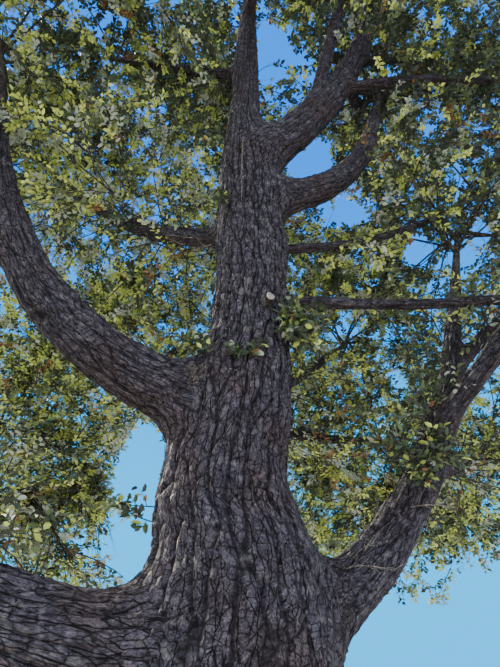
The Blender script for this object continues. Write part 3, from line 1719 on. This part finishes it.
DEAD_SPRIGS = (
    Sprig("low_right_bough", 0.9, 320, 350, -6, 0.34, 0.007),
    Sprig("low_right_bough", 1.05, 310, 310, 14, 0.22, 0.005),
    Sprig("low_right_bough", 1.35, 285, 150, 45, 0.24, 0.006),
    Sprig("low_right_bough", 1.45, 300, 70, 66, 0.2, 0.005),
    Sprig("low_right_bough", 1.7, 345, 352, -4, 0.34, 0.006),
    Sprig("low_right_bough", 1.85, 300, 200, 30, 0.22, 0.005),
    Sprig("back_left_bough", 0.45, 100, 200, -30, 0.26, 0.006),
    Sprig("back_left_bough", 0.55, 60, 240, -10, 0.24, 0.005),
    Sprig("back_left_bough", 0.7, 140, 170, 20, 0.28, 0.006),
    Sprig("back_left_bough", 0.85, 90, 215, 0, 0.24, 0.005),
)
HANGING_STRAND = Sprig("trunk", 6.7, 262, 270, -86, 1.5, 0.005)
STUB_PROFILE = (
    (0.05, -0.03), (0.042, 0.02), (0.038, 0.09), (0.035, 0.1), (0.03, 0.103), (0.0, 0.1),
)
KNOT_PROFILE = (
    (0.13, -0.03), (0.11, 0.03), (0.075, 0.06), (0.05, 0.045), (0.035, 0.01), (0.0, 0.0),
)
SCARS = (
    Scar("stub", "trunk", 4.2, 291, 3, STUB_PROFILE),
    Scar("knot", "trunk", 3.5, 220, 4, KNOT_PROFILE),
)


@dataclass
class BarkGrowth:
    """Sprigs, dead twigs, a stub and a knot on the trunk and boughs."""

    skeleton: Skeleton
    tints: "LeafFinishes"
    bark: "TwigFinish"
    dead: "DeadwoodFinish"
    bare: "BareWoodFinish"
    leaf: LeafShape = LeafShape()
    # The size of these leaves over the crown's, and how many an offshoot has
    leaf_size: float = 0.88
    leaves_each: int = 5
    # How offshoots leave a sprig, with lengths as shares of its own
    offshoots: Branching = Branching(7, (0.2, 1.0), 0.5, 0.35, (62, 24), 0.0025, 0.08, 0.2)
    # How deep a sprig starts in the bark, how far it bends out from it over its length,
    # and the greatest length that counts for that
    sunk: float = 0.02
    curve: float = 0.12
    curve_limit: float = 0.4
    steps: int = 6
    shoot_sides: int = 5
    taper: float = 0.6
    scar_sides: int = 20
    # How uneven a scar is
    ragged: float = 0.12
    seed: int = 77

    def build(self) -> None:
        """Makes every piece."""
        random = np.random.default_rng(self.seed)
        sprigs = list(LIVE_SPRIGS)
        for tuft in TUFTS:
            sprigs += tuft.sprigs(random)
        live, tips = self._grow(sprigs, random)
        self._make_shoots("sprigs", sprigs, live, self.bark.material())
        self._make_leaves(sprigs, tips, random)
        dead, _ = self._grow(DEAD_SPRIGS, random)
        strand = self._stems((HANGING_STRAND,))
        self._make_shoots("dead_twigs", DEAD_SPRIGS, [*dead, strand], self.dead.material())
        for scar in SCARS:
            piece = self._scar(scar, random)
            dress(piece, (scar.limb,), [self.bark.material(), self.bare.material()])

    def _place(self, limb: str, along: float, around: float) -> tuple[Array, Array]:
        """Where something stands on the bark.

        Args:
            limb: The limb.
            along: Metres along it.
            around: Degrees round it.

        Returns:
            The point on the bark, and the way out from there.
        """
        path = self.skeleton.limbs[limb]
        axis, radius, heading = path.sample(np.array([along / path.length]))
        outward = swung(*path.square(heading), np.radians(around))
        out = radius + self.skeleton.swelling(path, axis, outward, radius)
        return (axis + outward * out[:, None])[0], outward[0]

    def _stems(self, sprigs: Sequence[Sprig]) -> Shoots:
        """The main shoots of sprigs, which leave the bark square and then turn.

        Args:
            sprigs: The sprigs.

        Returns:
            One shoot for each.
        """
        places = [self._place(sprig.limb, sprig.along, sprig.around) for sprig in sprigs]
        points, outward = (np.array(values) for values in zip(*places, strict=True))
        bearing, rise, length, radii = (
            np.array([getattr(sprig, key) for sprig in sprigs])
            for key in ("bearing", "rise", "length", "radius")
        )
        length = length[:, None]
        way = direction(bearing, rise)
        bends = self.curve * np.minimum(length, self.curve_limit) * (outward - way)
        starts = points - outward * self.sunk
        return Shoots(starts, points + way * length, bends, radii)

    def _grow(self, sprigs: Sequence[Sprig], random: Chance) -> tuple[list[Shoots], Shoots]:
        """Sprigs with their offshoots.

        Args:
            sprigs: The sprigs.
            random: The source of chance.

        Returns:
            The shoots of each order, and the offshoots alone.
        """
        stems = self._stems(sprigs)
        tips = []
        for index, sprig in enumerate(sprigs):
            rule = replace(self.offshoots, length=self.offshoots.length * sprig.length)
            tips.append(rule.sprout(stems.keep(np.arange(len(sprigs)) == index), random))
        offshoots = Shoots.joined(tips)
        return [stems, offshoots], offshoots

    def _make_shoots(
        self,
        name: str,
        sprigs: Sequence[Sprig],
        batches: list[Shoots],
        material: Material,
    ) -> None:
        """Shoots as one piece.

        Args:
            name: The piece's name.
            sprigs: The sprigs that they belong to.
            batches: The shoots.
            material: Their material.
        """
        shoots = Shoots.joined(batches)
        steps = np.linspace(0.0, 1.0, self.steps)
        radii = shoots.radii[:, None] * (1 - self.taper * steps[:-1])
        piece = make_mesh(name, *tubes(shoots.at(steps), radii, self.shoot_sides))
        piece.data.shade_smooth()
        dress(piece, self._limbs_of(sprigs), (material,))

    def _make_leaves(self, sprigs: Sequence[Sprig], tips: Shoots, random: Chance) -> None:
        """The leaves of the living sprigs as one piece.

        Args:
            sprigs: The living sprigs.
            tips: The offshoots that carry them.
            random: The source of chance.
        """
        sizes = np.full(len(tips), self.leaf_size)
        leaves = self.leaf.spray(tips, self.leaves_each, sizes, random)
        tints = random.choice(len(self.tints.tints), len(leaves), p=self.tints.on_bark)
        piece = leaf_piece("sprig_leaves", ((leaves, tints),))
        dress(piece, self._limbs_of(sprigs), self.tints.materials())

    @staticmethod
    def _limbs_of(sprigs: Sequence[Sprig]) -> list[str]:
        """The limbs that sprigs stand on, each one once."""
        return list(dict.fromkeys(sprig.limb for sprig in sprigs))

    def _scar(self, scar: Scar, random: Chance) -> Piece:
        """A scar as one piece.

        Args:
            scar: The scar.
            random: The source of chance.

        Returns:
            The piece, with bark in its first slot and bare wood in its second.
        """
        sides = self.scar_sides
        middle, outward = self._place(scar.limb, scar.along, scar.around)
        side = unit(np.cross(outward, UP))
        turn = 2 * np.pi * np.arange(sides) / sides
        uneven = 1 + self.ragged * random.uniform(-1, 1, sides)
        over = np.cross(side, outward)
        rim = side * (np.cos(turn) * uneven)[:, None] + over * (np.sin(turn) * uneven)[:, None]
        rings = [middle + rim * radius + outward * height for radius, height in scar.profile[:-1]]
        tip = middle + outward * scar.profile[-1][1]
        count = len(rings)
        fan = fan_faces((count - 1) * sides, sides, count * sides)
        steps = [np.arange(count - 1).repeat(sides), np.full(sides, count)]
        slots = [(step >= scar.bare_from).astype(int) for step in steps]
        vertices = np.concatenate([*rings, tip[None]])
        piece = make_mesh(scar.name, vertices, [ring_faces(count, sides), fan], slots)
        piece.data.shade_smooth()
        return piece


# Finishes


Colour = tuple[float, float, float]
Value = Socket | float | Colour


def paint(colour: Colour) -> tuple[float, float, float, float]:
    """A colour with full cover, as sockets take it."""
    return (*colour, 1.0)


@dataclass
class Workbench:
    """A node tree being filled, with short ways to add what the finishes need."""

    tree: bpy.types.NodeTree

    def node(
        self, kind: str, inputs: dict[int | str, Value] | None = None, **settings: object
    ) -> bpy.types.Node:
        """A new node.

        Args:
            kind: The type of the node.
            inputs: What its sockets are given.
            **settings: Its settings.

        Returns:
            The node.
        """
        made = self.tree.nodes.new(kind)
        for name, value in settings.items():
            setattr(made, name, value)
        for place, value in (inputs or {}).items():
            self.feed(made.inputs[place], value)
        return made

    def feed(self, socket: Socket, value: Value) -> None:
        """Gives a socket another socket's value, a number or a colour.

        Args:
            socket: The socket.
            value: What it is given.
        """
        if isinstance(value, Socket):
            self.tree.links.new(value, socket)
        elif isinstance(value, tuple) and socket.type == "RGBA":
            socket.default_value = paint(value)
        else:
            socket.default_value = value

    def maths(self, operation: str, *values: Value) -> Socket:
        """The result of a sum."""
        made = self.node("ShaderNodeMath", dict(enumerate(values)), operation=operation)
        return made.outputs[0]

    def times(self, first: Value, second: Value) -> Socket:
        """A number times another."""
        return self.maths("MULTIPLY", first, second)

    def line(self, value: Value, slope: Value, base: Value) -> Socket:
        """A number times a slope, plus a base."""
        return self.maths("MULTIPLY_ADD", value, slope, base)

    def rise(self, value: Value, low: Value, high: Value) -> Socket:
        """A smooth rise.

        Args:
            value: The value that it follows.
            low: The value up to which it is 0.
            high: The value from which it is 1.

        Returns:
            The rise, from 0 to 1.
        """
        inputs = {"Value": value, "From Min": low, "From Max": high}
        made = self.node("ShaderNodeMapRange", inputs, interpolation_type="SMOOTHSTEP")
        return made.outputs["Result"]

    def fall(self, value: Value, low: Value, high: Value) -> Socket:
        """A smooth fall from 1 to 0 as value goes from low to high."""
        return self.maths("SUBTRACT", 1.0, self.rise(value, low, high))

    def noise(self, where: Value, scale: float, detail: float = 3.0) -> Socket:
        """Cloudy noise from 0 to 1."""
        inputs = {"Vector": where, "Scale": scale, "Detail": detail}
        return self.node("ShaderNodeTexNoise", inputs).outputs["Fac"]

    def vectors(self, operation: str, *values: Value) -> Socket:
        """The result of a sum with vectors."""
        made = self.node("ShaderNodeVectorMath", dict(enumerate(values)), operation=operation)
        return made.outputs["Value" if operation in ("LENGTH", "DOT_PRODUCT") else "Vector"]

    def parts(self, vector: Value) -> bpy.types.bpy_prop_collection:
        """The three parts of a vector or of a plate's own colour."""
        return self.node("ShaderNodeSeparateXYZ", {0: vector}).outputs

    def cell(self, where: Value, feature: str) -> bpy.types.bpy_prop_collection:
        """The outputs of a pattern of irregular cells, one unit wide."""
        inputs = {"Vector": where, "Scale": 1.0, "Randomness": 0.9}
        return self.node("ShaderNodeTexVoronoi", inputs, feature=feature).outputs

    def plates(self, where: Value, width: float, height: float) -> tuple[Value, Value, Value]:
        """Irregular plates round a limb, with cracks of even width between them.

        Args:
            where: Places on a straight, upright copy of the limb.
            width: A plate's width round the limb.
            height: Its height along the limb.

        Returns:
            The distance to the nearest crack along the surface, how far that crack runs along
            the limb, from 0 to 1, and a colour of the plate's own.
        """
        size, level = (1 / width, 1 / width, 1 / height), (1.0, 1.0, 0.0)
        scaled = self.vectors("MULTIPLY", where, size)
        nearest, second = self.cell(scaled, "F1"), self.cell(scaled, "F2")
        way = self.vectors("SUBTRACT", second["Position"], nearest["Position"])
        middle = self.vectors("MULTIPLY_ADD", way, (0.5, 0.5, 0.5), nearest["Position"])
        short = self.vectors("DOT_PRODUCT", self.vectors("SUBTRACT", middle, scaled), way)
        outward = self.vectors("NORMALIZE", self.vectors("MULTIPLY", where, level))
        through = self.vectors("PROJECT", way, outward)
        slope = self.vectors("MULTIPLY", self.vectors("SUBTRACT", way, through), size)
        steep = self.vectors("LENGTH", slope)
        across = self.vectors("LENGTH", self.vectors("MULTIPLY", slope, level))
        edge, lengthwise = (self.maths("DIVIDE", part, steep) for part in (short, across))
        return edge, lengthwise, nearest["Color"]

    def blend(self, share: Value, first: Value, second: Value) -> Socket:
        """A colour between two."""
        inputs = {0: share, 6: first, 7: second}
        return self.node("ShaderNodeMix", inputs, data_type="RGBA").outputs[2]

    def shaded(self, colour: Value, tone: Value) -> Socket:
        """A colour made darker or lighter by a tone."""
        inputs = {0: colour, "Scale": tone}
        return self.node("ShaderNodeVectorMath", inputs, operation="SCALE").outputs[0]


BARK_SOCKETS = (
    ("INPUT", "Color", ("Plate", "Warm Plate", "Furrow", "Lichen", "Bleached Plate")),
    ("INPUT", "Vector", ("Lie",)),
    ("INPUT", "Float", ("Fissure", "Lichen Cover", "Warmth", "Bleaching")),
    ("OUTPUT", "Color", ("Color",)),
    ("OUTPUT", "Float", ("Roughness", "Height")),
)


def weathered_bark() -> bpy.types.ShaderNodeTree:
    """The cracked, weathered skin that trunk, boughs and twigs share.

    Returns:
        A node group that takes the bark's colours and how the surface lies, and gives its
        colour, roughness and height.
    """
    name = "Weathered bark"
    if name in bpy.data.node_groups:
        return bpy.data.node_groups[name]
    group = bpy.data.node_groups.new(name, "ShaderNodeTree")
    for way, kind, labels in BARK_SOCKETS:
        for label in labels:
            group.interface.new_socket(label, in_out=way, socket_type=f"NodeSocket{kind}")
    bench = Workbench(group)
    given = bench.node("NodeGroupInput").outputs
    where = bench.node("ShaderNodeTexCoord").outputs["Object"]

    # Places on the straight limb, strayed from three times so that no crack is straight
    lie = given["Lie"]
    for scale, reach, rows in ((5.0, 0.05, 0.7), (27.0, 0.012, 1.0), (90.0, 0.006, 1.0)):
        stray = bench.node("ShaderNodeTexNoise", {"Vector": given["Lie"], "Scale": scale})
        far = (reach, reach, reach * rows)
        lie = bench.vectors("MULTIPLY_ADD", stray.outputs["Color"], far, lie)

    # Ridges, plates and chips, with cracks of uneven width between them
    ragged = bench.noise(lie, 22.0, 5.0)
    ridge_edge, _, _ = bench.plates(lie, 0.066, 0.4)
    edge, lengthwise, own = bench.plates(lie, 0.056, 0.09)
    fine_edge, _, fine_own = bench.plates(lie, 0.018, 0.024)
    wide = bench.line(ragged, 0.02, -0.0058)
    crack = bench.fall(ridge_edge, bench.times(wide, 0.3), wide)
    narrow = bench.line(ragged, 0.016, -0.005)
    narrow = bench.times(narrow, bench.line(lengthwise, 0.5, 0.6))
    split = bench.fall(edge, 0.0, narrow)
    chip = bench.fall(fine_edge, 0.0, bench.times(narrow, 0.5))
    gap = bench.maths("MAXIMUM", crack, bench.times(split, 0.85))
    gap = bench.maths("MAXIMUM", gap, bench.times(chip, 0.36))
    shares, fine_shares = bench.parts(own), bench.parts(fine_own)
    fibre = bench.noise(bench.vectors("MULTIPLY", lie, (110.0, 110.0, 55.0)), 1.0, 8.0)
    cloud = bench.noise(where, 1.9)
    speck = bench.noise(where, 16.0, 6.0)
    grit = bench.noise(where, 75.0, 4.0)

    # How light each place is, from its plate, its fibres, specks and grit
    tone = bench.line(shares["X"], 0.35, 0.5)
    tone = bench.line(fine_shares["X"], 0.35, tone)
    tone = bench.times(tone, bench.line(fibre, 3.4, -0.7))
    tone = bench.times(tone, bench.line(speck, 1.8, 0.1))
    tone = bench.times(tone, bench.line(grit, 1.6, 0.2))
    tone = bench.times(tone, bench.line(bench.rise(edge, 0.0, 0.014), 0.4, 0.6))
    warm = bench.times(bench.rise(cloud, 0.45, 0.68), given["Warmth"])
    skin = bench.shaded(bench.blend(warm, given["Plate"], given["Warm Plate"]), tone)

    # Lichen in patches
    patches = bench.times(bench.rise(speck, 0.5, 0.66), bench.rise(cloud, 0.6, 0.4))
    patches = bench.times(patches, given["Lichen Cover"])
    skin = bench.blend(patches, skin, given["Lichen"])

    # Plates bleached on the upper left, and warmer bark on undersides
    facing = bench.parts(bench.node("ShaderNodeNewGeometry").outputs["Normal"])
    left = bench.line(facing["X"], -0.8, bench.times(facing["Z"], 0.6))
    left = bench.times(bench.rise(left, 0.5, 0.95), bench.rise(shares["Z"], 0.25, 0.75))
    left = bench.times(left, given["Bleaching"])
    skin = bench.blend(left, skin, bench.shaded(given["Bleached Plate"], tone))
    below = bench.rise(bench.times(facing["Z"], -1.0), 0.2, 0.95)
    below = bench.times(below, given["Warmth"])
    skin = bench.blend(below, skin, bench.shaded(given["Warm Plate"], tone))

    # The fissures that the mesh is carved with, and what the group gives
    deep = bench.line(ragged, 1.6, -0.1)
    deep = bench.times(bench.rise(given["Fissure"], 0.35, 0.95), deep)
    gap = bench.maths("MINIMUM", bench.maths("MAXIMUM", gap, deep), 1.0)
    height = bench.line(gap, -0.8, bench.times(fibre, 0.5))
    height = bench.line(shares["Y"], 0.5, height)
    given_out = {
        "Color": bench.blend(gap, skin, given["Furrow"]),
        "Roughness": bench.line(fibre, 0.25, 0.7),
        "Height": bench.line(fine_shares["Y"], 0.2, height),
    }
    bench.node("NodeGroupOutput", given_out)
    return group


@dataclass(frozen=True)
class BarkFinish:
    """Dark grey-brown plated bark."""

    name: str = "Plated bark"
    plate: Colour = (0.09, 0.08, 0.102)
    warm: Colour = (0.1, 0.068, 0.06)
    furrow: Colour = (0.008, 0.007, 0.008)
    lichen: Colour = (0.24, 0.24, 0.22)
    bleached: Colour = (0.62, 0.54, 0.46)
    lichen_cover: float = 0.35
    warmth: float = 0.5
    bleaching: float = 0.9
    bump: float = 0.8
    bump_depth: float = 0.012
    gloss: float = 0.1

    def material(self) -> Material:
        """The finish as a material, made once.

        Returns:
            The material.
        """
        if self.name in bpy.data.materials:
            return bpy.data.materials[self.name]
        made = bpy.data.materials.new(self.name)
        made.use_nodes = True
        bench = Workbench(made.node_tree)
        inputs = {
            "Plate": self.plate,
            "Warm Plate": self.warm,
            "Furrow": self.furrow,
            "Lichen": self.lichen,
            "Bleached Plate": self.bleached,
            "Lichen Cover": self.lichen_cover,
            "Warmth": self.warmth,
            "Bleaching": self.bleaching,
            "Lie": self._lie(bench),
            "Fissure": self._fissure(bench),
        }
        skin = bench.node("ShaderNodeGroup", inputs, node_tree=weathered_bark()).outputs
        relief = {
            "Strength": self.bump,
            "Distance": self.bump_depth,
            "Height": skin["Height"],
        }
        bump = bench.node("ShaderNodeBump", relief)
        surface = made.node_tree.nodes["Principled BSDF"].inputs
        surface["Specular IOR Level"].default_value = self.gloss
        bench.feed(surface["Base Color"], skin["Color"])
        bench.feed(surface["Roughness"], skin["Roughness"])
        bench.feed(surface["Normal"], bump.outputs["Normal"])
        return made

    def _lie(self, bench: Workbench) -> Value:
        """Where the surface lies, as its mesh keeps it."""
        return bench.node("ShaderNodeAttribute", attribute_name="lie").outputs["Vector"]

    def _fissure(self, bench: Workbench) -> Value:
        """The fissures that the mesh is carved with."""
        return bench.node("ShaderNodeAttribute", attribute_name="fissure").outputs["Fac"]


@dataclass(frozen=True)
class TwigFinish(BarkFinish):
    """Smoother grey-brown bark on stems and twigs, with no plates."""

    name: str = "Twig bark"
    plate: Colour = (0.1, 0.088, 0.08)
    lichen_cover: float = 0.5
    warmth: float = 0.3
    bleaching: float = 0.0
    bump: float = 0.4
    bump_depth: float = 0.003
    scale: float = 1.3

    def _lie(self, bench: Workbench) -> Value:
        """Twigs are small, so their skin follows their place in the crown."""
        where = bench.node("ShaderNodeTexCoord").outputs["Object"]
        return bench.vectors("MULTIPLY", where, (self.scale, self.scale, self.scale))

    def _fissure(self, bench: Workbench) -> Value:
        """Twigs have no fissures."""
        return 0.0


@dataclass(frozen=True)
class DeadwoodFinish(TwigFinish):
    """Pale grey wood of dead twigs, without bark."""

    name: str = "Dead wood"
    plate: Colour = (0.34, 0.3, 0.25)
    warm: Colour = (0.3, 0.24, 0.18)
    furrow: Colour = (0.06, 0.05, 0.04)
    lichen_cover: float = 0.2


@dataclass(frozen=True)
class BareWoodFinish(TwigFinish):
    """The pale wood of a cut or a healed knot."""

    name: str = "Bare wood"
    plate: Colour = (0.62, 0.56, 0.5)
    warm: Colour = (0.5, 0.38, 0.27)
    furrow: Colour = (0.12, 0.1, 0.08)
    lichen_cover: float = 0.0


def plain_material(
    name: str, colour: Colour, roughness: float, gloss: float
) -> Material:
    """A material of one colour, made once.

    Args:
        name: Its name.
        colour: Its colour.
        roughness: Its roughness.
        gloss: How strongly it shines.

    Returns:
        The material.
    """
    if name in bpy.data.materials:
        return bpy.data.materials[name]
    made = bpy.data.materials.new(name)
    made.use_nodes = True
    surface = made.node_tree.nodes["Principled BSDF"].inputs
    surface["Base Color"].default_value = paint(colour)
    surface["Roughness"].default_value = roughness
    surface["Specular IOR Level"].default_value = gloss
    return made


@dataclass(frozen=True)
class LeafTint:
    """One tint of leaf, and how often a spray has it on top of a mass and under it."""

    name: str
    colour: Colour
    above: float
    below: float
    roughness: float = 0.5


@dataclass(frozen=True)
class LeafFinishes:
    """The tints of the leaves and how sprays share them out.

    Attributes:
        stray: The share of leaves that differ from their spray.
        middle: How bright sprays are in the middle of a mass, from 0 to 1.
        downward: How much brighter they get from there to its underside.
        leftward: How much brighter they get for every metre to the left.
        patch_size: Size of the lighter and darker patches of the crown.
        patch_contrast: How much they differ.
        patch_seed: Which patches.
        on_bark: The share of each tint on the sprigs that stand on the bark.
    """

    tints: tuple[LeafTint, ...] = (
        LeafTint("Leaf dark olive", (0.046, 0.056, 0.038), 0.34, 0.12),
        LeafTint("Leaf deep green", (0.066, 0.096, 0.05), 0.37, 0.13),
        LeafTint("Leaf mid green", (0.15, 0.19, 0.075), 0.2, 0.18),
        LeafTint("Leaf pale underside", (0.42, 0.46, 0.36), 0.03, 0.21),
        LeafTint("Leaf yellow green", (0.46, 0.53, 0.11), 0.03, 0.17),
        LeafTint("Leaf bright green", (0.72, 0.8, 0.2), 0.01, 0.17),
        LeafTint("Leaf orange brown", (0.3, 0.15, 0.06), 0.02, 0.02, 0.7),
    )
    gloss: float = 0.3
    stray: float = 0.14
    middle: float = 0.62
    downward: float = 0.5
    leftward: float = 0.06
    patch_size: float = 0.7
    patch_contrast: float = 0.6
    patch_seed: int = 31
    on_bark: tuple[float, ...] = (0.32, 0.3, 0.2, 0.06, 0.07, 0.03, 0.02)

    def materials(self) -> list[Material]:
        """The tints as materials, each one made once.

        Returns:
            One material for each tint.
        """
        return [
            plain_material(tint.name, tint.colour, tint.roughness, self.gloss)
            for tint in self.tints
        ]

    def deal(self, ends: Array, centre: Array, spec: MassSpec, random: Chance) -> Array:
        """The tint of each spray, brighter under a mass, where light shines through it.

        Args:
            ends: Where the sprays end.
            centre: The middle of the mass.
            spec: The mass.
            random: The source of chance.

        Returns:
            The number of a tint for each spray.
        """
        under = (centre[2] - ends[:, 2]) / spec.radius
        light = self.middle + spec.light + under * self.downward - ends[:, 0] * self.leftward
        light = light + self.patch_contrast * noise(ends / self.patch_size, self.patch_seed)
        light = np.clip(light, 0.0, 1.0)[:, None]
        above = np.array([tint.above for tint in self.tints])
        below = np.array([tint.below for tint in self.tints])
        shares = above * (1 - light) + below * light
        limits = np.cumsum(shares / shares.sum(axis=1, keepdims=True), axis=1)
        return (random.uniform(size=(len(ends), 1)) > limits[:, :-1]).sum(axis=1)


# Studio


@dataclass(frozen=True)
class Studio:
    """A pale floor, soft even light, and one soft sun behind the tree on the left."""

    floor_size: float = 160.0
    floor_colour: Colour = (0.62, 0.6, 0.56)
    floor_roughness: float = 0.9
    fill_colour: Colour = (0.78, 0.86, 1.0)
    fill_strength: float = 2.1
    low_sky: Colour = (0.0, 0.46, 1.0)
    high_sky: Colour = (0.0, 0.2, 0.85)
    sky_strength: float = 2.0
    sun_colour: Colour = (1.0, 0.95, 0.86)
    sun_bearing: float = 152.0
    sun_height: float = 42.0
    sun_strength: float = 7.0
    sun_softness: float = 3.0

    def build(self) -> None:
        """Sets out the floor and the lights."""
        self._floor()
        self._sky()
        self._sun()

    def _floor(self) -> None:
        """The floor, level with the flat cut under the trunk."""
        half = self.floor_size / 2
        corners = [(-half, -half, 0.0), (half, -half, 0.0), (half, half, 0.0), (-half, half, 0.0)]
        mesh = bpy.data.meshes.new("floor")
        mesh.from_pydata(corners, [], [(0, 1, 2, 3)])
        floor = bpy.data.objects.new("floor", mesh)
        bpy.context.scene.collection.objects.link(floor)
        mesh.materials.append(
            plain_material("Pale floor", self.floor_colour, self.floor_roughness, 0.5)
        )

    def _sky(self) -> None:
        """Even light from all round, and a sky that only the camera sees."""
        world = bpy.data.worlds.new("sky")
        world.use_nodes = True
        bench = Workbench(world.node_tree)
        upward = bench.parts(bench.node("ShaderNodeTexCoord").outputs["Generated"])
        sky = bench.blend(bench.rise(upward["Z"], 0.2, 0.85), self.low_sky, self.high_sky)
        fill = {"Color": self.fill_colour, "Strength": self.fill_strength}
        seen = {"Color": sky, "Strength": self.sky_strength}
        both = {
            0: bench.node("ShaderNodeLightPath").outputs["Is Camera Ray"],
            1: bench.node("ShaderNodeBackground", fill).outputs[0],
            2: bench.node("ShaderNodeBackground", seen).outputs[0],
        }
        mixed = bench.node("ShaderNodeMixShader", both).outputs[0]
        bench.feed(world.node_tree.nodes["World Output"].inputs["Surface"], mixed)
        bpy.context.scene.world = world

    def _sun(self) -> None:
        """The sun."""
        light = bpy.data.lights.new("sun", "SUN")
        light.energy = self.sun_strength
        light.angle = np.radians(self.sun_softness)
        light.color = self.sun_colour
        sun = bpy.data.objects.new("sun", light)
        tip = np.radians(90 - self.sun_height)
        sun.rotation_euler = (0.0, tip, np.radians(self.sun_bearing))
        bpy.context.scene.collection.objects.link(sun)


def write_sizes() -> None:
    """Keeps the solids' box and the dressed tree's box."""
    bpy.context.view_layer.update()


def main() -> None:
    """Builds the tree, piece by piece, and the studio around it."""
    logging.basicConfig(level=logging.INFO, format="%(message)s")
    LOOKOUT.set_camera()
    skeleton = Skeleton()
    tints, bark = LeafFinishes(), TwigFinish()
    Limbs(skeleton, BarkFinish()).build()
    Foliage(skeleton, Openings(skeleton, LOOKOUT), tints, bark).build()
    BarkGrowth(skeleton, tints, bark, DeadwoodFinish(), BareWoodFinish()).build()
    Studio().build()
    write_sizes()


if __name__ == "__main__":
    main()
